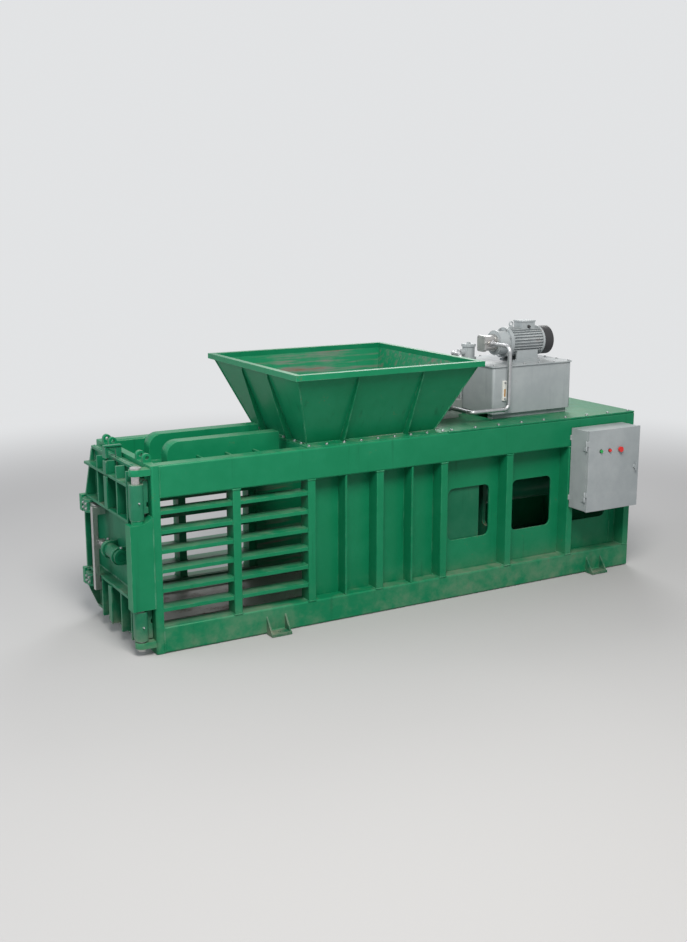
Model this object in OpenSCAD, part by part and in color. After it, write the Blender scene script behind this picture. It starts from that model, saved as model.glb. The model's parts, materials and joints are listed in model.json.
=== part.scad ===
// Horizontal baler with a slotted press chamber, a side-hinged door with a sliding bolt lock, a feed hopper,
// a press ram with its hydraulic cylinder, a power unit on the rear deck and a control cabinet.
// Millimetres. X runs along the machine from the door end to the rear, Y to the far side, Z up.
// Places along the machine are measured from the end plane of the chamber, and from_door_end() shifts them
// so that the origin is on the ground, at the centre of the four anchor holes.

/* [Press chamber] */
// Clear width between the chamber walls
chamber_w = 860; // [800:10:900]
// Length of the slotted chamber
chamber_len = 1250; // [1150:10:1400]
// Height of the chamber floor above the ground
floor_z = 150; // [145:1:160]
// Height of the cross beams over the chamber roof
header_h = 110; // [100:5:120]
// Thickness of the wall plates and wall strips
wall_t = 16; // [12:1:20]
// Thickness of the floor plate
floor_t = 20; // [16:1:25]
// Thickness of the roof plate
roof_t = 20; // [16:1:22]

/* [Side frame] */
// Height of the top of the side frame
frame_h = 1330; // [1315:5:1350]
// Depth of rails, posts and fins outside the wall plates
frame_depth = 114; // [104:2:120]
// Height of the top rail
top_rail_h = 230; // [200:5:240]
// Height of the base rail
base_rail_h = 188; // [180:1:200]
// Width of the posts along the machine
post_w = 60; // [50:2:70]
// Wall of the box section rails and posts
section_t = 10; // [6:1:14]
// Outer corner radius of rails and posts
section_r = 14; // [12:1:20]
// Number of tie slots, one above the other
tie_slots = 7; // [6:1:8]
// Height of the inner wall strip of a tie bar
strip_h = 53; // [45:1:60]
// Thickness of the fin of a tie bar
fin_t = 28; // [20:1:32]
// Set-back of the fins behind the face of the frame
fin_back = 6; // [2:1:12]

/* [Door] */
// Gap between the closed door and the end plane
door_gap = 3; // [2:0.5:5]
// Thickness of the door plate behind the grooves
door_plate_t = 25; // [20:1:30]
// Depth of the tie grooves in the door and the ram face
groove_d = 12; // [8:1:14]
// Height of the tie grooves
groove_h = 32; // [20:1:40]
// Depth of the door's ribs
rib_depth = 80; // [70:2:84]
// Thickness of the door's ribs
rib_t = 20; // [14:1:22]
// Height of the underside of the door
door_z0 = 60; // [50:5:80]
// Distance of the door's top below the top of the frame
door_top_in = 30; // [20:5:40]
// Distance of the hinge axis outside the end plane
hinge_out = 90; // [88:1:94]
// Distance of the hinge axis inside the face of the side frame
hinge_in = 50; // [46:1:52]
// Diameter of the hinge pin
pin_d = 60; // [50:1:64]
// Outside diameter of the door's hinge knuckles
knuckle_d = 96; // [84:2:98]
// Underside of the fixed hinge bracket
bracket_z0 = 333; // [320:1:345]
// Top of the fixed hinge bracket
bracket_z1 = 935; // [900:5:945]
// Reach of the hinge bracket past the end plane
bracket_reach = 160; // [150:1:162]

/* [Lock] */
// Height of the lower lock bolt
bolt_low_z = 305; // [290:1:310]
// Height of the upper lock bolt
bolt_high_z = 870; // [850:5:875]
// Side of the square lock bolts
bolt_w = 60; // [50:1:64]
// Travel of the lock bolts
lock_stroke = 95; // [80:1:100]
// Outside diameter of the lock cylinder
lock_barrel_d = 100; // [80:2:104]
// Diameter of the lock cylinder's rod
lock_rod_d = 40; // [30:1:45]

/* [Press] */
// Length of the feed opening
feed_len = 1100; // [1050:10:1150]
// Stroke of the ram
stroke = 1250; // [1100:10:1260]
// Length of the ram's body
ram_len = 450; // [420:5:480]
// Side clearance of the ram
ram_side_gap = 6; // [3:1:10]
// Plate thickness of the ram's box
ram_t = 16; // [12:1:20]
// Thickness of the ram's face plate
ram_face_t = 40; // [30:1:45]
// Outside diameter of the press cylinder
barrel_d = 220; // [200:2:230]
// Bore diameter of the press cylinder
bore_d = 180; // [160:2:184]
// Diameter of the press rod
rod_d = 110; // [90:2:120]
// Clear length behind the piston, which sets how far the frame runs to the rear
piston_rest = 200; // [160:10:260]

/* [Hopper] */
// Height of the hopper above the frame
hopper_h = 560; // [450:10:650]
// Spread of the hopper to each side
hopper_spread = 270; // [200:10:300]
// Sheet thickness of the hopper
hopper_t = 6; // [4:0.5:10]

/* [Power unit] */
// Length of the oil tank
tank_l = 800; // [740:10:820]
// Width of the oil tank
tank_w = 640; // [600:10:660]
// Height of the oil tank
tank_h = 380; // [340:10:420]
// Outside diameter of the motor frame
motor_d = 240; // [220:5:260]
// Diameter of the motor shaft
shaft_d = 38; // [32:1:42]
// Outside diameter of the steel pipes
pipe_d = 34; // [28:1:38]
// Bend radius of the steel pipes
bend_r = 45; // [40:1:48]

/* [Control cabinet] */
// Width of the cabinet
cabinet_w = 540; // [480:10:560]
// Height of the cabinet
cabinet_h = 660; // [600:10:700]
// Depth of the cabinet
cabinet_d = 200; // [180:5:240]
// Sheet thickness of the cabinet
cabinet_t = 3; // [2:0.5:4]

/* [Anchors] */
// Distance between the anchor holes along the machine
anchor_x = 3000; // [2900:10:3100]
// Distance of the rear anchor holes before the rear crosshead
anchor_in = 260; // [240:10:280]
// Distance of the anchor holes outside the side frame
anchor_out = 50; // [45:1:60]
// Diameter of the anchor holes
anchor_hole_d = 22; // [18:1:26]

/* [Hidden] */
$fn = 48;

paint = [0.06, 0.46, 0.32];
dark_paint = [0.05, 0.36, 0.26];
steel = [0.62, 0.63, 0.64];
machine_grey = [0.55, 0.57, 0.58];

// Running clearances: round fits, sliding fits and flat seats
fit = 0.05;
slide = 1;
seat = 0.3;

// Planes across the machine, as distances from the middle
wall_y = chamber_w / 2;
lining_y = wall_y + wall_t;
side_y = lining_y + frame_depth;

// Heights of the side frame
roof_z = frame_h - header_h - roof_t;
door_z1 = frame_h - door_top_in;
top_rail_z = frame_h - top_rail_h;
slot_h = (top_rail_z - base_rail_h - (tie_slots - 1) * strip_h) / tie_slots;
slot_pitch = slot_h + strip_h;
function slot_z(i) = base_rail_h + i * slot_pitch + slot_h / 2;

// Places along the machine: the chamber, the feed opening, the ram drawn back, and its cylinder
feed_s = chamber_len;
rear_s = chamber_len + feed_len;
ram_s = rear_s + 10;
rod_flange_t = 30;
rod_flange_d = 220;
gland_s = ram_s + ram_face_t + rod_flange_t + 40;
gland_t = 50;
gland_d = barrel_d + 50;
piston_t = 70;
piston_s = gland_s + gland_t + stroke + 80;
barrel_end_t = 20;
rear_flange_t = 40;
rear_flange_d = 360;
rear_flange_s = piston_s + piston_t + piston_rest + barrel_end_t;
front_port_s = gland_s + gland_t + 60;
rear_port_s = rear_flange_s - 70;
port_out = 30;
crosshead_s = rear_flange_s + rear_flange_t;
crosshead_t = 60;
frame_len = crosshead_s + crosshead_t + post_w;

// Posts between the rails, and the plate that carries the front of the cylinder
rear_bay = (frame_len - rear_s - post_w) / 3;
post_places = [
    (chamber_len - post_w) / 2, chamber_len - post_w, feed_s + (feed_len - post_w) / 2,
    rear_s, rear_s + rear_bay, rear_s + 2 * rear_bay, rear_s + 3 * rear_bay
];
support_s = rear_s + rear_bay;
support_t = 30;

// Stiffeners of the chamber roof, which stop short of the hopper's leaning ribs
stiff_s = post_w + 190;
stiff_end_s = feed_s - post_w - 60;
stiff_w = 110;
stiff_h = 190;
stiff_y = 170;

// Anchors
anchor_s = crosshead_s - anchor_in;
origin_s = anchor_s - anchor_x / 2;
anchor_y = side_y + anchor_out;
foot_t = 20;
foot_l = 160;

// Hinge
hinge_s = -hinge_out;
hinge_y = -(side_y - hinge_in);
bracket_depth = 95;
arc_r = 115;
arc_rise = 50;
lug_t = 44;
lug_z = door_z1 - 32;
low_lug_z = 56;
knuckle_high_z = [bracket_z1 + 30, lug_z - 58];
knuckle_low_z = [low_lug_z + lug_t + 12, bracket_z0 - 13];

// Door, from its inner face outwards, with the shelves that leave an open bay for the lock cylinder
leaf_in = -door_gap;
leaf_groove = leaf_in - groove_d;
leaf_out = leaf_groove - door_plate_t;
rib_out = leaf_out - rib_depth;
swing_clear = 96;
leaf_near_y = hinge_y + sqrt(pow(swing_clear, 2) - pow(leaf_out - hinge_s, 2));
tab_y = hinge_y + 10;
leaf_far_y = side_y - 65;
near_rib_y = hinge_y + swing_clear + 4;
guide_t = 18;
bay_z = [bolt_low_z + bolt_w / 2 + slide + guide_t + 11, bolt_high_z + bolt_w / 2 + slide + guide_t];
shelf_z = [door_z0, bay_z[0], bay_z[1], (bay_z[1] + door_z1) / 2 + 60, door_z1 - rib_t];
shelf_short = 20;
top_bar_z = door_z1 + 78;

// Lock, carried by the door
bolt_s = rib_out + 25;
guide_y = [leaf_far_y - 125, leaf_far_y - rib_t - 5];
strap_t = 24;
bar_w = 40;
bar_y = guide_y[0] - lock_stroke - bar_w - 20;
bolt_tip_y = leaf_far_y - 7;
lock_z = (bolt_low_z + bolt_high_z) / 2 + 30;
lock_barrel_y = [-190, 110];
lock_bore_d = 63;
lock_piston_y = lock_barrel_y[0] + 40;
keeper_y = [leaf_far_y + 10, side_y];
keeper_h = bolt_w + 64;

// Ram
wear_t = 8;
slipper_t = 12;
ram_z0 = floor_z + wear_t + seat + slipper_t;
ram_z1 = roof_z - 30;
ram_w = chamber_w - 2 * ram_side_gap;
press_z = (ram_z0 + ram_z1) / 2;
blade_t = 18;
blade_l = 60;
blade_gap = 1;
shear_t = 20;
shear_h = 80;
cover_t = 8;
cover_rib_h = 60;
cover_len = stroke + blade_l + 40;

// Deck and power unit
deck_t = 12;
deck_z = frame_h + deck_t;
deck_s = rear_s + post_w;
tank_s = support_s + 20;
tank_foot_h = 40;
tank_z = deck_z + tank_foot_h;
lid_z = tank_z + tank_h;
lid_t = 10;
lid_lap = 10;
motor_y = -90;
motor_z = lid_z + lid_t + motor_d / 2 + 40;
bell_s = tank_s + 170;
bell_l = 110;
motor_s = bell_s + bell_l;
motor_l = 330;
cowl_l = 90;
pump_l = 130;
pump_shaft_d = 30;
pump_nose = 20;
pump_port = 62;
filter_s = tank_s + 120;
filter_y = 190;
filter_in = 90;
filter_in_z = lid_z + lid_t + 60;
bowl_d = 80;
cap_s = tank_s + tank_l - 120;
cap_hole_d = 50;
block_s = deck_s + 210;
block_l = 240;
block_w = 200;
block_h = 120;
block_z = deck_z + 30;
pipe_z = block_z + block_h / 2;
lever_s = [block_s + 70, block_s + 170];
lever_w = 24;
lever_pivot_h = 30;
bonnet_h = 46;
trunnion_d = 12;
trunnion_l = 44;
riser_s = tank_s + tank_l + 70;
riser_y = barrel_d / 2 + 80;
run_y = [tank_w / 2 + 70, tank_w / 2 + 125];

// Control cabinet
cabinet_z = frame_h - 70 - cabinet_h;
cabinet_s = crosshead_s - cabinet_w - 20;
cabinet_y = -(side_y + cabinet_d);
cabinet_rail_t = 10;
cabinet_pan_d = 22;
cabinet_door_y = cabinet_y - 1;
cabinet_hinge_d = 18;
cabinet_hinge_s = cabinet_s - cabinet_hinge_d / 2;
cabinet_hinge_y = cabinet_y - 4;
cabinet_knuckle_h = 40;
cabinet_pin_d = 9;
cabinet_hinge_z = [cabinet_z + 80, cabinet_z + cabinet_h - 160];
button_d = 22;
button_gap = 0.3;
button_z = cabinet_z + cabinet_h - 170;
button_out = 8;
button_s = [for (share = [0.24, 0.41, 0.61]) cabinet_s + share * cabinet_w];

module from_door_end() {
    translate([-origin_s, 0, 0]) children();
}

module both_sides() {
    children();
    mirror([0, 1, 0]) children();
}

// A flat outline with round corners, centred
module round_rect(w, h, r) {
    square([w - 2 * r, h], center = true);
    square([w, h - 2 * r], center = true);
    for (x = [-1, 1], y = [-1, 1])
        translate([x * (w / 2 - r), y * (h / 2 - r)]) circle(r = r);
}

// The section of a rolled box tube, centred
module box_section(w, h) {
    difference() {
        round_rect(w, h, section_r);
        square([w - 2 * section_t, h - 2 * section_t], center = true);
    }
}

// Extrudes an outline drawn in Y and Z along X
module along_x(s, len) {
    translate([s, 0, 0]) rotate([90, 0, 90]) linear_extrude(len) children();
}

// Extrudes an outline drawn in X and Z along Y
module along_y(y, len) {
    translate([0, y + len, 0]) rotate([90, 0, 0]) linear_extrude(len) children();
}

module rod_x(d, s, len) {
    translate([s, 0, 0]) rotate([0, 90, 0]) cylinder(d = d, h = len);
}

module rod_y(d, y, len) {
    translate([0, y, 0]) rotate([-90, 0, 0]) cylinder(d = d, h = len);
}

// A box given by its two corners
module block(a, b) {
    translate(a) cube([b[0] - a[0], b[1] - a[1], b[2] - a[2]]);
}

// Hexagon bolt heads on a circle, facing along +X
module hex_heads_x(count, pitch_d, across, h) {
    for (i = [0 : count - 1])
        rotate([i * 360 / count, 0, 0]) translate([0, pitch_d / 2, 0]) rotate([0, 90, 0])
            cylinder(d = across / cos(30), h = h, $fn = 6);
}

// A cylinder from a point in a direction, starting a little before the point if back is given
module rod_along(from, dir, d, h, back = 0) {
    translate(from - back * dir) rotate([0, acos(dir[2]), atan2(dir[1], dir[0])])
        cylinder(d = d, h = h);
}

// A steel pipe along a route of square corners, with a quarter elbow welded in at each inner point
module pipe_run(route, d) {
    last = len(route) - 1;
    weld_w = 8;
    dirs = [for (i = [0 : last - 1]) (route[i + 1] - route[i]) / norm(route[i + 1] - route[i])];
    for (i = [0 : last - 1]) {
        from = route[i] + (i > 0 ? bend_r : 0) * dirs[i];
        to = route[i + 1] - (i < last - 1 ? bend_r : 0) * dirs[i];
        rod_along(from, dirs[i], d, norm(to - from));
        if (i > 0) rod_along(from, dirs[i], d + 5, weld_w, weld_w / 2);
        if (i < last - 1) rod_along(to, dirs[i], d + 5, weld_w, weld_w / 2);
    }
    for (i = [1 : last - 1]) {
        a = dirs[i - 1];
        b = dirs[i];
        n = cross(a, b);
        centre = route[i] + bend_r * (b - a);
        multmatrix([
            [-b[0], a[0], n[0], centre[0]], [-b[1], a[1], n[1], centre[1]],
            [-b[2], a[2], n[2], centre[2]], [0, 0, 0, 1]
        ])
            rotate_extrude(angle = 90) translate([bend_r, 0]) circle(d = d);
    }
}

// Frame

// A box section rail from the end post to the rear, with a cap plate set into its rear end
module side_rail(mid_z, h) {
    inner = [frame_depth - 2 * section_t, h - 2 * section_t];
    translate([0, (lining_y + side_y) / 2, mid_z]) {
        along_x(post_w, frame_len - post_w) box_section(frame_depth, h);
        along_x(frame_len - 8 - section_t, section_t) square([inner[0] + 2, inner[1] + 2], center = true);
    }
}

module base_rails() {
    color(paint) from_door_end() both_sides() side_rail(base_rail_h / 2, base_rail_h);
}

module top_rails() {
    color(paint) from_door_end() both_sides() side_rail(frame_h - top_rail_h / 2, top_rail_h);
}

// End posts run the full height, capped, with a round outer corner. The others stand between the rails
module side_posts() {
    color(paint) from_door_end() both_sides() {
        difference() {
            linear_extrude(frame_h) {
                translate([0, lining_y]) square([post_w, frame_depth - section_r]);
                translate([section_r, side_y - section_r]) square([post_w - section_r, section_r]);
                translate([section_r, side_y - section_r]) circle(r = section_r);
            }
            block([section_t, lining_y + section_t, -1],
                  [post_w - section_t, side_y - section_t, frame_h - section_t]);
        }
        for (s = post_places)
            translate([s + post_w / 2, (lining_y + side_y) / 2, base_rail_h])
                linear_extrude(top_rail_z - base_rail_h) difference() {
                    round_rect(post_w, frame_depth, 4);
                    square([post_w - 2 * section_t, frame_depth - 2 * section_t], center = true);
                }
    }
}

// Header and sill between the end posts, lifting lugs on the header, and a beam before and behind
// the feed throat
module cross_beams() {
    lug_w = 36;
    lug_h = 60;
    lug_hole_d = 26;
    lug_in = [26, 150];
    color(paint) from_door_end() {
        for (s = [0, feed_s - post_w, rear_s])
            along_y(-lining_y, 2 * lining_y) translate([s + post_w / 2, frame_h - header_h / 2])
                difference() {
                    square([post_w, header_h], center = true);
                    square([post_w - 2 * section_t, header_h - 2 * section_t], center = true);
                }
        block([0, -lining_y, 0], [post_w, lining_y, floor_z - floor_t]);
        both_sides() for (inset = lug_in)
            along_y(lining_y - inset - lug_w, lug_w) translate([0, frame_h]) difference() {
                union() {
                    square([post_w, lug_h - post_w / 2]);
                    translate([post_w / 2, lug_h - post_w / 2]) circle(d = post_w);
                }
                translate([post_w / 2, lug_h - post_w / 2]) circle(d = lug_hole_d);
            }
    }
}

module base_cross_members() {
    member_w = 80;
    first = post_w + 240;
    count = 7;
    step = (frame_len - first - member_w) / (count - 1);
    color(dark_paint) from_door_end()
        for (i = [0 : count - 1])
            along_y(-lining_y, 2 * lining_y)
                translate([first + i * step + member_w / 2, (floor_z - floor_t) / 2])
                    difference() {
                        square([member_w, floor_z - floor_t], center = true);
                        translate([section_t, 0])
                            square([member_w, floor_z - floor_t - 2 * section_t], center = true);
                    }
}

// Foot plates welded to the outside of the base rails, each with one anchor hole and a gusset
module anchor_feet() {
    gusset_t = 12;
    gusset_h = 110;
    gusset_in = 10;
    foot_y = anchor_y + 45;
    color(dark_paint) from_door_end()
        for (s = [anchor_s - anchor_x, anchor_s]) both_sides() {
            difference() {
                block([s - foot_l / 2, side_y, 0], [s + foot_l / 2, foot_y, foot_t]);
                translate([s, anchor_y, -1]) cylinder(d = anchor_hole_d, h = foot_t + 2);
            }
            for (x = [s - foot_l / 2, s + foot_l / 2 - gusset_t])
                along_x(x, gusset_t)
                    polygon([[side_y, foot_t], [foot_y - gusset_in, foot_t], [side_y, foot_t + gusset_h]]);
        }
}

// Floor plate with three wear strips that the ram slides on
module floor_plate() {
    strip_w = 100;
    color(steel) from_door_end() {
        block([0, -lining_y, floor_z - floor_t], [crosshead_s, lining_y, floor_z]);
        for (y = [-chamber_w / 3, 0, chamber_w / 3])
            block([0, y - strip_w / 2, floor_z], [crosshead_s, y + strip_w / 2, floor_z + wear_t]);
    }
}

// Closed walls of the feed section with an outer rib in each bay
module feed_walls() {
    bay_middles = [(feed_s + post_places[2]) / 2, (post_places[2] + post_w + rear_s) / 2];
    color(paint) from_door_end() both_sides() {
        block([feed_s, wall_y, floor_z], [rear_s, lining_y, frame_h]);
        for (s = bay_middles)
            block([s - wall_t / 2, lining_y, base_rail_h], [s + wall_t / 2, side_y - fin_back, top_rail_z]);
    }
}

// Each tie bar is a wall strip along the whole chamber with a fin outside it in each bay, level with its top.
// A plain lining plate closes the wall below the first slot and above the last
module tie_bars() {
    color(paint) from_door_end() both_sides() {
        block([0, wall_y, floor_z], [feed_s, lining_y, base_rail_h]);
        block([0, wall_y, top_rail_z], [feed_s, lining_y, roof_z]);
        for (i = [1 : tie_slots - 1]) {
            z = base_rail_h + i * slot_pitch;
            block([0, wall_y, z - strip_h], [feed_s, lining_y, z]);
            for (bay = [[post_w, post_places[0]], [post_places[0] + post_w, post_places[1]]])
                block([bay[0], lining_y, z - fin_t], [bay[1], side_y - fin_back, z]);
        }
    }
}

module chamber_roof() {
    color(paint) from_door_end()
        block([0, -lining_y, roof_z], [feed_s, lining_y, roof_z + roof_t]);
}

// Two long hollow stiffeners on the roof plate, rounded at the door end and higher than the side frame
module roof_stiffeners() {
    wall = 8;
    color(paint) from_door_end()
        for (y = [-stiff_y, stiff_y])
            difference() {
                stiffener_solid(y, stiff_w, 0);
                stiffener_solid(y, stiff_w - 2 * wall, wall);
            }
}

module stiffener_solid(y, w, inset) {
    h = stiff_h - inset;
    s0 = stiff_s + inset;
    along_y(y - w / 2, w) translate([0, roof_z + roof_t]) {
        translate([s0 + h / 2, 0]) square([stiff_end_s - inset - s0 - h / 2, h]);
        translate([s0, 0]) square([h, h / 2]);
        translate([s0 + h / 2, h / 2]) circle(d = h);
    }
}

// Cross ribs on the roof plate, between the stiffeners and outside them
module roof_ribs() {
    rib_h = 80;
    count = 3;
    step = (stiff_end_s - stiff_s) / (count + 1);
    spans = [[-lining_y, -stiff_y - stiff_w / 2], [-stiff_y + stiff_w / 2, stiff_y - stiff_w / 2],
             [stiff_y + stiff_w / 2, lining_y]];
    z = roof_z + roof_t;
    color(paint) from_door_end()
        for (i = [1 : count], span = spans)
            block([stiff_s + i * step, span[0], z], [stiff_s + i * step + wall_t, span[1], z + rib_h]);
}

// Walls of the rear housing, with a window in each bay. The last bay is shorter by the crosshead
module rear_walls() {
    window = [rear_bay - 230, (top_rail_z - base_rail_h) * 0.46];
    window_r = 50;
    window_z = (base_rail_h + top_rail_z) / 2;
    ends = [post_places[4], post_places[5], crosshead_s];
    color(paint) from_door_end() both_sides()
        along_y(wall_y, wall_t) difference() {
            translate([rear_s, floor_z]) square([crosshead_s - rear_s, roof_z - floor_z]);
            for (i = [0 : 2])
                translate([(post_places[3 + i] + post_w + ends[i]) / 2, window_z])
                    round_rect(window[0], window[1], window_r);
        }
}

// A corner of the hopper's inside, moved out to its outside
function ring_corner(x, y, z, grow) = [x + sign(x) * grow, y + sign(y) * grow, z];

// One mitred panel of the hopper between its lower and its upper edge, given as inner corners
module hopper_panel(low_a, low_b, high_a, high_b) {
    inner = [low_a, low_b, high_b, high_a];
    outer = [for (p = inner) ring_corner(p[0], p[1], p[2], hopper_t)];
    polyhedron(
        points = concat(inner, outer),
        faces = [[3, 2, 1, 0], [4, 5, 6, 7], [5, 4, 0, 1], [6, 5, 1, 2], [7, 6, 2, 3], [4, 7, 3, 0]]
    );
}

module hopper() {
    flange_t = 10;
    rim_w = 46;
    rim_h = 40;
    x = feed_len / 2;
    y = chamber_w / 2;
    z0 = frame_h + flange_t;
    z1 = frame_h + hopper_h - rim_h;
    sx = x + hopper_spread * 0.75;
    sy = y + hopper_spread;
    color(paint) from_door_end() translate([feed_s + x, 0, 0]) {
        for (x0 = [-x - post_w, x])
            block([x0, -side_y + 10, frame_h], [x0 + post_w, side_y - 10, z0]);
        both_sides() block([-x, y, frame_h], [x, side_y - 10, z0]);
        for (m = [0, 180])
            rotate([0, 0, m]) {
                hopper_panel([-x, y, z0], [x, y, z0], [-sx, sy, z1], [sx, sy, z1]);
                hopper_panel([x, y, z0], [x, -y, z0], [sx, sy, z1], [sx, -sy, z1]);
                block([-sx - rim_w, sy, z1], [sx + rim_w, sy + rim_w, z1 + rim_h]);
                block([sx, -sy, z1], [sx + rim_w, sy, z1 + rim_h]);
                // ribs outside each panel
                for (k = [-1, 1]) {
                    along_x(k * x * 0.5 - 4, 8)
                        polygon([[y + hopper_t, z0], [y + hopper_t + 60, z0], [sy + hopper_t, z1 - 40],
                                 [sy + hopper_t, z1]]);
                    along_y(k * y * 0.5 - 4, 8)
                        polygon([[x + hopper_t, z0], [x + hopper_t + 50, z0], [sx + hopper_t, z1 - 40],
                                 [sx + hopper_t, z1]]);
                }
            }
    }
}

module fixed_shear_blade() {
    z = ram_z1 + blade_t + blade_gap;
    color(steel) from_door_end()
        block([feed_s, -ram_w / 2, z], [feed_s + shear_t, ram_w / 2, z + shear_h]);
}

// Plate across the housing that carries the front of the press cylinder. It ends below the ram cover
module cylinder_support() {
    top_z = ram_z1 - cover_rib_h - 10;
    slot = [chamber_w * 0.14, (top_z - floor_z) * 0.44];
    color(paint) from_door_end()
        along_x(support_s, support_t) difference() {
            translate([-wall_y, floor_z + wear_t]) square([chamber_w, top_z - floor_z - wear_t]);
            translate([0, press_z]) circle(d = barrel_d + 2 * seat);
            translate([riser_y, press_z]) circle(d = pipe_d + 14);
            for (y = [-0.36, 0.36]) translate([y * chamber_w, press_z]) round_rect(slot[0], slot[1], 40);
        }
}

// Thick plate against the rear posts that takes the thrust of the press cylinder
module rear_crosshead() {
    color(paint) from_door_end() {
        block([crosshead_s, -lining_y, floor_z - floor_t], [crosshead_s + crosshead_t, lining_y, roof_z]);
        for (z = [floor_z + 60, press_z - 130, press_z + 90, roof_z - 60])
            block([crosshead_s + crosshead_t, -lining_y, z], [frame_len, lining_y, z + 40]);
    }
}

// Press cylinder

module press_barrel() {
    color(dark_paint) from_door_end() translate([0, 0, press_z]) difference() {
        union() {
            rod_x(barrel_d, gland_s + gland_t, rear_flange_s - gland_s - gland_t);
            rod_x(rear_flange_d, rear_flange_s, rear_flange_t);
            for (s = [front_port_s, rear_port_s])
                translate([s, 0, 0]) rod_y(64, 0, barrel_d / 2 + port_out);
        }
        rod_x(bore_d, gland_s + gland_t - 1, rear_flange_s - barrel_end_t - gland_s - gland_t + 1);
        for (s = [front_port_s, rear_port_s])
            translate([s, 0, 0]) rod_y(pipe_d - 8, 0, barrel_d / 2 + port_out + 1);
    }
}

module press_gland() {
    color(steel) from_door_end() translate([0, 0, press_z]) difference() {
        union() {
            rod_x(gland_d, gland_s, gland_t);
            rod_x(bore_d - 2 * fit, gland_s + gland_t, 40);
        }
        rod_x(rod_d + 2 * fit, gland_s - 1, gland_t + 42);
    }
}

module press_rod() {
    color(steel) from_door_end() translate([0, 0, press_z]) {
        rod_x(rod_flange_d, ram_s + ram_face_t, rod_flange_t);
        rod_x(rod_d, ram_s + ram_face_t, piston_s - ram_s - ram_face_t);
        rod_x(bore_d - 2 * fit, piston_s, piston_t);
    }
}

// Heads of the bolts in the rear flange, the gland and the fixed shear blade
module frame_bolts() {
    head = 30;
    head_h = 18;
    small_head = 22;
    small_head_h = 12.6;
    blade_head_h = 14;
    color(steel) from_door_end() {
        translate([rear_flange_s - head_h, 0, press_z]) rotate([22.5, 0, 0])
            hex_heads_x(8, (rear_flange_d + barrel_d) / 2 + 10, head, head_h);
        translate([gland_s - small_head_h, 0, press_z]) rotate([22.5, 0, 0])
            hex_heads_x(8, (gland_d + rod_d) / 2 + 14, small_head, small_head_h);
        for (i = [-3 : 3])
            translate([feed_s + shear_t, i * ram_w / 7.5, ram_z1 + blade_t + blade_gap + shear_h * 0.56])
                rotate([0, 90, 0]) cylinder(d = head / cos(30), h = blade_head_h, $fn = 6);
    }
}

// Deck and power unit

module rear_deck() {
    color(paint) from_door_end() difference() {
        block([deck_s, -side_y, frame_h], [frame_len, side_y, deck_z]);
        for (s = [riser_s, rear_port_s])
            translate([s, riser_y, frame_h - 1]) cylinder(d = pipe_d + 16, h = deck_t + 2);
    }
}

// Open-topped welded tank on two foot rails
module oil_tank() {
    foot_w = 60;
    sheet = 6;
    color(machine_grey) from_door_end() translate([tank_s + tank_l / 2, 0, 0]) union() {
        translate([0, 0, tank_z]) difference() {
            linear_extrude(tank_h) round_rect(tank_l, tank_w, 20);
            translate([0, 0, sheet]) linear_extrude(tank_h)
                round_rect(tank_l - 2 * sheet, tank_w - 2 * sheet, 20 - sheet);
        }
        both_sides() block([-tank_l / 2 + 20, tank_w / 2 - foot_w * 1.5, deck_z],
                           [tank_l / 2 - 20, tank_w / 2 - foot_w / 2, tank_z]);
    }
}

// Tank lid with an inspection cover and its bolts, and holes for the return filter and the filler cap
module tank_lid() {
    cover_d = 180;
    cover_h = 10;
    cover_x = tank_l * 0.16;
    bolts = 6;
    bolt_d = 16;
    bolt_h = 8;
    middle_s = tank_s + tank_l / 2;
    color(machine_grey) from_door_end() translate([middle_s, 0, lid_z]) difference() {
        union() {
            linear_extrude(lid_t) round_rect(tank_l + 2 * lid_lap, tank_w + 2 * lid_lap, 26);
            translate([cover_x, filter_y, lid_t]) cylinder(d = cover_d, h = cover_h);
            for (i = [0 : bolts - 1])
                translate([cover_x, filter_y, lid_t + cover_h]) rotate(i * 360 / bolts)
                    translate([cover_d * 0.4, 0, 0]) cylinder(d = bolt_d, h = bolt_h, $fn = 6);
        }
        for (hole = [[filter_s, bowl_d + 4], [cap_s, cap_hole_d]])
            translate([hole[0] - middle_s, filter_y, -1]) cylinder(d = hole[1], h = lid_t + 2);
    }
}

module level_gauge() {
    size = [36, 14, 160];
    glass = [18, 9, 100];
    color("white") from_door_end()
        translate([tank_s + 110, -tank_w / 2, tank_z + tank_h / 2]) difference() {
            translate([-size[0] / 2, -size[1], -size[2] / 2]) cube(size);
            translate([-glass[0] / 2, -size[1] - 1, -glass[2] / 2]) cube(glass);
        }
}

// Return filter: a bowl through the lid, a flange, a body with a bolted head, and the inlet tube
module return_filter() {
    bowl_depth = 120;
    flange_h = 16;
    body_h = 90;
    head_h = 22;
    z = lid_z + lid_t;
    color(machine_grey) from_door_end() translate([filter_s, filter_y, 0]) union() {
        translate([0, 0, lid_z - bowl_depth]) cylinder(d = bowl_d, h = bowl_depth + lid_t);
        translate([0, 0, z]) cylinder(d = 130, h = flange_h);
        translate([0, 0, z + flange_h]) cylinder(d = 104, h = body_h);
        translate([0, 0, z + flange_h + body_h]) cylinder(d = 120, h = head_h);
        translate([0, 0, z + flange_h + body_h + head_h]) cylinder(d = 36, h = 14, $fn = 6);
        translate([0, 0, filter_in_z]) rod_x(pipe_d + 20, -filter_in, 60);
    }
}

// Filler cap with a grip of round ridges and a neck that turns in the lid
module filler_cap() {
    cap_d = 84;
    ridges = 12;
    color("dimgray") from_door_end() translate([cap_s, filter_y, lid_z - 30]) {
        cylinder(d = cap_hole_d - 2 * fit, h = 32 + lid_t);
        translate([0, 0, 30 + lid_t + seat]) {
            cylinder(d = cap_d, h = 42);
            for (i = [0 : ridges - 1])
                rotate(i * 360 / ridges) translate([cap_d / 2 - 1, 0, 6]) cylinder(d = 8, h = 30);
        }
    }
}

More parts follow.
